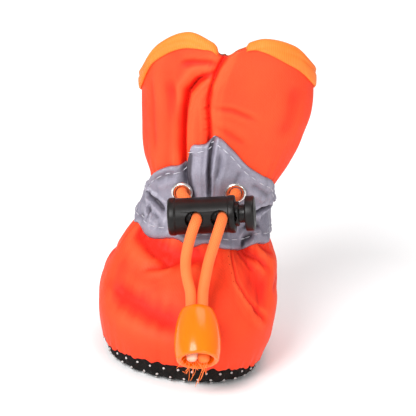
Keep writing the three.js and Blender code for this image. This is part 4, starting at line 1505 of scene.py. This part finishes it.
@dataclass
class Sole:
    """Padded fabric tray with a soft turned-up edge and anti-slip dots, and the insole in it."""

    last: Last
    floor: float = 2.6
    wall: float = 1.5
    round_in: float = 3.2
    toe_spring: float = 2.2
    dot_pitch: float = 4.0
    dot_width: float = 0.85
    dot_height: float = 0.44
    insole_thickness: float = 1.2
    insole_inset: float = 5.0
    tread: float = 0.22
    columns: int = 300
    profile: tuple[tuple[float, float], ...] = (
        (1.0, 0.0), (0.84, 0.005), (0.66, 0.035), (0.48, 0.1), (0.32, 0.2), (0.2, 0.32), (0.1, 0.48),
        (0.035, 0.66), (0.0, 0.84), (0.0, 0.96),
    )  # fmt: skip

    def _inset(self, turn: Array) -> Array:
        """How far the flat tread stays inside the edge."""
        return self.round_in + self.toe_spring * np.clip(np.cos(turn), 0, None) ** 3

    def _ring(self, turn: Array, inset: Array, z: Array) -> Array:
        """A ring that lies inside the edge by a length, at a height."""
        edge = self.last.shell(turn, self.last.hem(turn))
        inward = np.stack([-edge[..., 0], self.last.middle() - edge[..., 1], np.zeros(turn.shape)], -1)
        inward /= np.linalg.norm(inward, axis=-1, keepdims=True)
        place = edge + inward * inset[..., None]
        place[..., 2] = z
        return place

    def _edge(self, turn: Array, share: Array) -> Array:
        """Points of the soft outer edge, from the tread (0) to the lip (1)."""
        steps = np.linspace(0, 1, len(self.profile))
        table = np.array(self.profile)
        inset = self._inset(turn) * self.last.along(steps, table[:, 0], share)
        rise = self.last.along(steps, table[:, 1], share)
        z = self.tread + (self.last.hem(turn) - self.tread) * rise
        lump = 0.2 * np.sin(turn * 29 + 1.7 * np.sin(turn * 6)) * np.sin(np.pi * share)
        return self._ring(turn, inset - lump, z)

    def build(self) -> bpy.types.Object:
        """Builds and dresses the tray."""
        turn = self.last.columns(self.columns)
        none = np.zeros(turn.shape)
        rings = [self._ring(turn, self._inset(turn) + inner, none + self.tread) for inner in (12.0, 6.0, 2.0)]
        rings += [self._edge(turn, np.full(turn.shape, share)) for share in np.linspace(0, 1, 22)]
        lip = self.last.hem(turn)
        rings.append(self._ring(turn, none + 0.25, lip + 0.16))
        rings.append(self._ring(turn, none + 0.8, lip + 0.16))
        rings.append(self._ring(turn, none + self.wall, lip - 0.1))
        rings.append(self._ring(turn, self.wall + self._inset(turn) * 0.3, none + self.floor))
        rings.append(self._ring(turn, self.wall + self._inset(turn) + 6, none + self.floor))
        ends = np.array([(0, self.last.middle(), self.tread), (0, self.last.middle(), self.floor)])
        piece = loft("sole_tray", np.array(rings), ends)
        piece.data.materials.append(SoleFabric().material())
        Filling().fill(piece, self.tread)
        return settle(piece, ["sole"])

    def insole(self) -> bpy.types.Object:
        """Builds and dresses the thin board inside."""
        turn = self.last.columns(160)
        none = np.zeros(turn.shape)
        low = self.floor + self.last.gap
        inset = self.insole_inset + self._inset(turn) - self.round_in
        steps = (
            (0.5, 0.0), (0.1, 0.15), (0.0, 0.45), (0.05, 0.75), (0.35, 0.96), (1.2, 1.0), (6.0, 1.03),
            (12.0, 1.0),
        )
        rings = [
            self._ring(turn, inset + more, none + low + self.insole_thickness * rise) for more, rise in steps
        ]
        middle = self.last.middle()
        ends = np.array([(0, middle, low), (0, middle, low + self.insole_thickness)])
        piece = loft("insole_board", np.array(rings), ends)
        piece.data.materials.append(INSOLE_FOAM.material())
        Filling().fill(piece, low)
        return settle(piece, ["insole"])

    def dots(self, graph: Graph, finish: bpy.types.Material) -> None:
        """Sets staggered rubber dots under the tread and up the soft edge.

        Args:
            graph: The tree for dots.
            finish: The rubber.
        """
        pitch, row_share, low, high = self.dot_pitch, 0.866, -30, 32
        turn = self.last.columns(720)
        places, outs = [], []
        rim = self._ring(turn, self._inset(turn) + 0.8, np.zeros(turn.shape))
        middle = np.array((0, self.last.middle()))
        reach = np.hypot(*(rim[:, :2] - middle).T)
        for n, y in enumerate(np.arange(low, high, pitch * row_share)):
            for x in np.arange(low, high, pitch) + (pitch / 2 if n % 2 else 0):
                away = np.array((x, y)) - middle
                here = math.atan2(away[0], -away[1])
                bearing = np.arctan2(rim[:, 0] - middle[0], -(rim[:, 1] - middle[1]))
                if np.hypot(*away) < np.interp(here, bearing, reach, period=2 * np.pi):
                    places.append((x, y, self.tread))
                    outs.append((0, 0, -1))
        for n, share in enumerate((0.28, 0.55, 0.82)):
            line = self._edge(turn, np.full(turn.shape, share))
            steps = np.linalg.norm(np.roll(line, -1, axis=0) - line, axis=1)
            length = np.concatenate([[0], np.cumsum(steps)])
            count = int(length[-1] / pitch)
            at = (np.arange(count) + (0.5 if n % 2 else 0)) * length[-1] / count
            where = np.interp(at, length[:-1], turn)
            here = np.full(where.shape, share)
            around = self._edge(where + 0.01, here) - self._edge(where - 0.01, here)
            up = self._edge(where, here + 0.03) - self._edge(where, here - 0.03)
            out = np.cross(around, up)
            places += self._edge(where, here).tolist()
            outs += (out / np.linalg.norm(out, axis=1, keepdims=True)).tolist()
        source = trail(np.array(places), np.array(outs, float), [])
        size = {"Width": self.dot_width * MM, "Height": self.dot_height * MM}
        values = {**size, "Variation": 0.25, "Seed": 4, "Material": finish}
        settle(graph.grow("sole_dots", source, values))


# Drawcord and fittings


@dataclass
class CordLock:
    """Two-hole barrel with a sprung button, on the frame's own sizes but for the button's thicker cap."""

    last: Last
    cord: float = 3.0
    across: float = -0.35
    standoff: float = 11.15
    height_share: float = 0.757
    rise: float = 11.0
    roll: float = 10.0
    barrel_radius: float = 5.2
    bore_radius: float = 3.6
    barrel_end: float = 9.2
    wall: float = 1.6
    hole_size: tuple[float, float] = (5.0, 4.6)
    holes: tuple[float, float] = (-1.9, 5.1)
    button_radius: float = 4.8
    button_standoff: float = 2.7
    button_thickness: float = 2.6
    plunger_radius: float = 3.4
    neck_radius: float = 2.5

    def place(self) -> Matrix:
        """Where the lock stands, in millimetres."""
        ankle = self.last.ankle_height - self.last.instep_height
        height = self.last.instep_height + self.height_share * ankle
        y = float(self.last.point(np.array(0.0), np.array(height))[1]) - self.standoff
        lifted = Matrix.Rotation(-math.radians(self.rise), 4, "Y")
        turn = lifted @ Matrix.Rotation(-math.radians(self.roll), 4, "X")
        return Matrix.Translation((self.across, y, height)) @ turn

    def barrel(self, finish: bpy.types.Material) -> bpy.types.Object:
        """Builds the barrel with its bore and its two cord holes."""
        r, bore, end = self.barrel_radius, self.bore_radius, self.barrel_end
        corners = [
            (0, -end, 0), (r, -end, 1.0), (r, -end + 1.9, 0.2), (r - 0.22, -end + 2.2, 0.2),
            (r - 0.22, end - 1.9, 0.2),
            (r, end - 1.6, 0.2), (r, end, 0.5), (bore, end, 0.4), (bore, -end + self.wall, 0.4),
            (0, -end + self.wall, 0),
        ]  # fmt: skip
        piece = turned("cord_lock_body", rounded(corners), 72, self.place())
        width, height = self.hole_size
        cutters = [
            slot_cutter(at - width / 2, at + width / 2, height, 30.0, self.place()) for at in self.holes
        ]
        cut(piece, cutters, 0.35)
        piece.data.materials.clear()
        piece.data.materials.append(finish)
        return settle(piece, ["cord_lock_barrel"])

    def plunger(self, finish: bpy.types.Material) -> bpy.types.Object:
        """Builds the slotted rod with its neck and its button."""
        travel, start = 2.2, -1.1
        slot_length = self.cord + 0.6 + travel
        slots = [(hole + start, hole + start + slot_length) for hole in self.holes]
        tail, shoulder = slots[0][0] - 1.4, slots[1][1] + 0.4
        button = self.barrel_end + self.button_standoff
        face = button + self.button_thickness
        r, neck, wide = self.plunger_radius, self.neck_radius, self.button_radius
        corners = [
            (0, tail, 0), (r, tail, 0.3), (r, shoulder, 0.3), (neck, shoulder, 0.1), (neck, button, 0.4),
            (wide, button, 0.5),
            (wide, face, 0.8), (wide * 0.55, face, 0.5), (wide * 0.45, face - 0.35, 0.4), (0, face - 0.35, 0),
        ]  # fmt: skip
        piece = turned("cord_lock_button", rounded(corners), 72, self.place())
        cut(piece, [slot_cutter(a, b, self.hole_size[1], 30.0, self.place()) for a, b in slots], 0.15)
        piece.data.materials.clear()
        piece.data.materials.append(finish)
        return settle(piece, ["cord_lock_plunger"], Body.BUTTON)


@dataclass
class Drawcords:
    """The two free ends of the elastic cord, with their cut ends in the bell."""

    diameter: float = 3.0
    sides: int = 20
    steps: int = 12
    routes: dict[str, tuple[tuple[float, float, float], ...]] = field(
        default_factory=lambda: {
            "left": (
                (-6.5, 0.7, 45.2), (-6.6, -1.1, 45.2), (-5.4, -2.3, 44.4), (-3.9, -3.0, 43.3),
                (-2.6, -4.0, 42.6),
                (-1.8, -5.3, 42.5), (-1.5, -7.2, 42.9), (-1.5, -10.0, 43.4), (-1.6, -12.6, 43.8),
                (-1.7, -15.2, 44.1),
                (-2.1, -17.1, 43.2), (-2.6, -18.4, 40.9), (-3.0, -19.2, 37.7), (-3.1, -19.7, 34.2),
                (-2.6, -20.3, 31.0),
                (-1.6, -21.6, 28.3), (-0.7, -23.3, 26.5), (-0.2, -25.6, 24.5), (0.3, -28.7, 22.0),
                (1.0, -32.6, 18.8),
                (1.7, -36.3, 15.7),
            ),
            "right": (
                (7.9, 0.6, 47.0), (8.0, -1.1, 47.0), (7.3, -2.2, 46.1), (6.6, -2.9, 44.9), (5.8, -3.9, 44.0),
                (5.5, -5.3, 43.9), (5.4, -7.2, 44.2), (5.3, -10.0, 44.7), (5.3, -12.6, 45.1),
                (5.2, -15.2, 45.4),
                (4.9, -17.1, 44.5), (4.4, -18.4, 42.1), (3.8, -19.2, 38.7), (3.2, -19.7, 35.0),
                (2.9, -20.3, 31.6),
                (2.7, -21.6, 28.6), (2.7, -23.3, 26.6), (3.0, -25.6, 24.6), (3.5, -28.7, 22.1),
                (4.1, -32.6, 18.9),
                (4.8, -36.3, 15.8),
            ),
        }
    )  # fmt: skip

    def line(self, side: str) -> Array:
        """The centreline through a route's points, in millimetres.

        Args:
            side: Which cord.

        Returns:
            Points close together along a smooth curve.
        """
        points = np.array(self.routes[side])
        padded = np.vstack([2 * points[0] - points[1], points, 2 * points[-1] - points[-2]])
        found = []
        for k in range(1, len(padded) - 2):
            p0, p1, p2, p3 = padded[k - 1 : k + 3]
            d0, d1, d2 = (math.sqrt(np.linalg.norm(b - a)) for a, b in ((p0, p1), (p1, p2), (p2, p3)))
            t1 = ((p1 - p0) / d0 - (p2 - p0) / (d0 + d1) + (p2 - p1) / d1) * d1
            t2 = ((p2 - p1) / d1 - (p3 - p1) / (d1 + d2) + (p3 - p2) / d2) * d1
            for s in np.linspace(0, 1, self.steps, endpoint=False):
                a, b = 2 * s**3 - 3 * s**2 + 1, -2 * s**3 + 3 * s**2
                found.append(a * p1 + b * p2 + (s**3 - 2 * s**2 + s) * t1 + (s**3 - s**2) * t2)
        found.append(points[-1])
        return np.array(found)

    def tube(self, name: str, line: Array, radius: Array) -> bpy.types.Object:
        """A closed round tube along a line.

        Args:
            name: Name of the piece.
            line: Its centreline.
            radius: Its radius at each point.

        Returns:
            The tube.
        """
        ahead = np.gradient(line, axis=0)
        ahead /= np.linalg.norm(ahead, axis=1, keepdims=True)
        side = np.cross(ahead[0], (0, 0, 1.0))
        way = np.linspace(0, 2 * np.pi, self.sides, endpoint=False)
        rings = []
        for place, forward, r in zip(line, ahead, radius):
            side = side - forward * (side @ forward)
            side /= np.linalg.norm(side)
            up = np.cross(forward, side)
            rings.append(place + r * (np.cos(way)[:, None] * side + np.sin(way)[:, None] * up))
        return loft(name, np.array(rings), np.array([line[0], line[-1]]))

    def build(self, bell: bpy.types.Object, finish: bpy.types.Material) -> None:
        """Args:
            bell: The moulded end that both run into; not used.
            finish: The braid.
        """
        for side in self.routes:
            line = self.line(side)
            piece = self.tube(f"drawcord_{side}_braid", line, np.full(len(line), self.diameter / 2))
            piece.data.materials.append(finish)
            settle(piece, [f"drawcord_{side}"])

    def cut_ends(self, core: bpy.types.Material, sleeve: bpy.types.Material) -> None:
        """Builds the rubber core of the left cord and the melted sleeve of the right one.

        Args:
            core: Pale rubber.
            sleeve: Orange thread.
        """
        girth = 1.55
        for side, finish in (("left", core), ("right", sleeve)):
            line = self.line(side)[-3:]
            ahead = (line[-1] - line[0]) / np.linalg.norm(line[-1] - line[0])
            reach = np.array((-0.4, 0.8, 2.0, 2.9, 3.3, 3.5))
            path = line[-1] + reach[:, None] * ahead
            radius = girth * np.array((0.98, 1.04, 1.06, 0.94, 0.66, 0.24))
            piece = self.tube(f"cord_cut_end_{side}", path, radius)
            piece.data.materials.append(finish)
            settle(piece)

    def frays(self, graph: Graph, finish: bpy.types.Material, count: int = 26, seed: int = 12) -> None:
        """Lets loose threads of the sleeve hang out of the bell.

        Args:
            graph: The tree for threads.
            finish: The thread.
            count: How many threads.
            seed: Fixes their lie.
        """
        joints = 9
        chance = np.random.default_rng(seed)
        points: list[Array] = []
        runs = []
        for n in range(count):
            line = self.line("left" if n % 2 else "right")
            ahead = (line[-1] - line[-3]) / np.linalg.norm(line[-1] - line[-3])
            start = line[-1] + ahead * 2.4 + chance.normal(size=3) * 0.7
            way = 0.8 * ahead + chance.normal(size=3) * (0.5, 0.25, 0.2) + np.array((-0.25, 0, 0))
            length = chance.uniform(2.2, 5.6)
            droop = chance.uniform(0.3, 0.9)
            curl = chance.normal(size=3) * 0.75
            steps = np.linspace(0, 1, joints)[:, None]
            path = start + way * length * steps + np.array((0, 0.25, -1)) * droop * length * 0.6 * steps**2
            path = path + curl * np.sin(steps * chance.uniform(3, 7)) * steps
            path[:, 2] = np.maximum(path[:, 2], 0.4)
            runs.append((len(points) * joints, (len(points) + 1) * joints))
            points.append(path)
        places = np.vstack(points)
        source = trail(places, np.zeros(places.shape), runs)
        values = {"Thickness": 0.14 * MM, "Wander": 0.6 * MM, "Grain": 600.0, "Material": finish}
        settle(graph.grow("frayed_threads", source, values))


@dataclass
class Bell:
    """Moulded end of the drawcord: narrow and rounded at the cords, open at its wide mouth."""

    length: float = 15.0
    radius: float = 6.3
    wall: float = 1.6
    cavity: float = 0.35
    throat: tuple[float, float] = (6.5, 3.5)
    outline: tuple[tuple[float, float], ...] = (
        (0.0, 0.6), (0.04, 0.68), (0.12, 0.77), (0.25, 0.87), (0.42, 0.95), (0.6, 0.995), (0.75, 1.0),
        (0.9, 0.97),
        (1.0, 0.92),
    )  # fmt: skip
    mouth: tuple[float, float, float] = (3.6, -38.4, 14.0)
    narrow: tuple[float, float, float] = (1.65, -26.9, 23.5)

    def place(self) -> Matrix:
        """Where the bell stands, its axis along local X, in millimetres."""
        along = (Vector(self.mouth) - Vector(self.narrow)).normalized()
        side = (Vector((1, 0, 0)) - along * along.x).normalized()
        turn = Matrix((along, side, along.cross(side))).transposed().to_4x4()
        return Matrix.Translation(self.narrow) @ turn

    def build(self, finish: bpy.types.Material) -> bpy.types.Object:
        """Builds the bell with its hollow and its oval throat."""
        r, end = self.radius, self.length
        steps = np.linspace(0, 1, 22)
        table = np.array(self.outline)
        shares = Last.along(table[:, 0], table[:, 1], steps)
        outside = [(float(share) * r, float(step) * end) for share, step in zip(shares, steps)]
        lip, rim = outside[-1][0], self.wall * 0.46
        way = np.linspace(0, np.pi, 9)[1:]
        roll = [(lip - rim + rim * math.cos(w), end + 0.7 * rim * math.sin(w)) for w in way]
        hollow = [
            (lip - 2 * rim, 0.8 * end), (lip - 2 * rim, self.cavity * end + 1.6),
            (lip - 3.6 * rim, self.cavity * end),
        ]
        profile = [
            (0.0, 0.0), (outside[0][0] - 0.7, 0.0), *outside[1:], *roll, *hollow, (0.0, self.cavity * end)
        ]
        piece = turned("cord_end_cap", profile, 80, self.place())
        width, height = self.throat
        upright = self.place() @ Matrix.Rotation(math.pi / 2, 4, "Z")
        cut(piece, [slot_cutter(-width / 2, width / 2, height, self.length, upright)], 0.3)
        piece.data.materials.clear()
        piece.data.materials.append(finish)
        return settle(piece, ["cord_end_bell"])


@dataclass
class Eyelets:
    """Rolled metal rings of the ankle band, smoothed from the frame's own rings."""

    sides: tuple[str, ...] = ("left", "right")

    def build(self, finish: bpy.types.Material) -> None:
        """Builds and dresses both rings."""
        for side in self.sides:
            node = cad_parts[f"eyelet_{side}"]
            piece = make_object(f"eyelet_ring_{side}", node.data.copy())
            weld = piece.modifiers.new("weld", "WELD")
            weld.merge_threshold = 0.01 * MM
            smooth = piece.modifiers.new("round", "SUBSURF")
            smooth.levels = smooth.render_levels = 2
            baked(piece)
            piece.data.polygons.foreach_set("use_smooth", np.ones(len(piece.data.polygons), bool))
            piece.data.materials.clear()
            piece.data.materials.append(finish)
            settle(piece, [f"eyelet_{side}"])


# Studio


@dataclass
class Studio:
    """Camera, floor and soft lights."""

    elevation: float = 24.0
    lean: float = 7.5
    distance: float = 1500.0
    view_width: float = 114.0
    sensor: float = 36.0

    def axes(self) -> tuple[Vector, Vector, Vector]:
        """The camera's right, up and backward ways."""
        e, a = math.radians(self.elevation), math.radians(self.lean)
        back = Vector((0, -math.cos(e), math.sin(e)))
        up = Vector((0, math.sin(e), math.cos(e)))
        right = Vector((1, 0, 0))
        return right * math.cos(a) + up * math.sin(a), up * math.cos(a) - right * math.sin(a), back

    def camera(self) -> None:
        """Frames the whole boot from the front, a little from above, leaning as it does in the picture."""
        right, up, back = self.axes()
        corners = []
        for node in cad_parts.values():
            spots = np.empty(len(node.data.vertices) * 3)
            node.data.vertices.foreach_get("co", spots)
            corners.append(spots.reshape(-1, 3))
        spots = np.vstack(corners) / MM
        across, above = spots @ np.array(right), spots @ np.array(up)
        depth = float((spots @ np.array(back)).mean())
        sideways = right * float(across.min() + across.max()) / 2
        upwards = up * float(above.min() + above.max()) / 2
        middle = sideways + upwards + back * depth
        data = bpy.data.cameras.new("camera")
        data.sensor_width = self.sensor
        data.lens = self.sensor * self.distance / self.view_width
        data.clip_start, data.clip_end = 0.05, 20.0
        camera = bpy.data.objects.new("camera", data)
        bpy.context.scene.collection.objects.link(camera)
        turn = Matrix((right, up, back)).transposed().to_4x4()
        camera.matrix_world = Matrix.Translation((middle + back * self.distance) * MM) @ turn
        bpy.context.scene.camera = camera

    def floor(self) -> None:
        """Lays a plain pale floor."""
        size = 1.6
        mesh = bpy.data.meshes.new("floor")
        mesh.from_pydata(
            [(-size, -size, 0), (size, -size, 0), (size, size, 0), (-size, size, 0)], [], [(0, 1, 2, 3)]
        )
        floor = make_object("floor", mesh)
        floor.data.materials.append(STUDIO_FLOOR.material())

    def lights(self) -> None:
        """Sets a broad key light, a fill, a top light and an even surround."""
        lamps = (
            ("key", (-0.42, -0.66, 0.62), 0.56, 10.4),
            ("fill", (0.5, -0.72, 0.3), 0.4, 1.8),
            ("top", (0.1, 0.25, 0.85), 0.6, 2.6),
        )
        for name, place, size, power in lamps:
            data = bpy.data.lights.new(name, "AREA")
            data.shape, data.size, data.energy = "DISK", size, power
            lamp = bpy.data.objects.new(name, data)
            bpy.context.scene.collection.objects.link(lamp)
            aim = Vector((0, -0.005, 0.045)) - Vector(place)
            lamp.matrix_world = Matrix.Translation(place) @ aim.to_track_quat("-Z", "Y").to_matrix().to_4x4()
        world = bpy.data.worlds.new("surround")
        world.use_nodes = True
        ground = world.node_tree.nodes["Background"]
        ground.inputs["Color"].default_value = (1.0, 1.0, 1.0, 1.0)
        ground.inputs["Strength"].default_value = 0.46
        bpy.context.scene.world = world
        bpy.context.scene.view_settings.view_transform = "Standard"


def main() -> None:
    """Builds every piece in order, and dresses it."""
    logging.basicConfig(level=logging.INFO, format="%(message)s")
    last = Last()
    studio = Studio()
    studio.camera()
    lock_plastic = LOCK_PLASTIC.material()
    bell = Bell().build(BELL_PLASTIC.material())
    cords = Drawcords()
    cords.build(bell, BraidedElastic().material())
    stitches, dots, threads = stitch_graph(), dot_graph(), thread_graph()
    orange = ORANGE_THREAD.material()
    cords.cut_ends(RUBBER_CORE.material(), orange)
    cords.frays(threads, orange)
    lock = CordLock(last)
    lock.barrel(lock_plastic)
    lock.plunger(lock_plastic)
    Eyelets().build(EYELET_METAL.material())
    upper = Upper(last)
    upper.build()
    upper.needle_holes(stitches, NEEDLE_HOLE_SHADE.material())
    band = AnkleBand(last)
    band.build()
    band.topstitch(stitches, WHITE_THREAD.material())
    binding = CollarBinding(last)
    binding.build()
    binding.stitches(stitches, orange)
    sole = Sole(last)
    sole.build()
    sole.insole()
    sole.dots(dots, RUBBER_DOT.material())
    studio.floor()
    studio.lights()


if __name__ == "__main__":
    main()
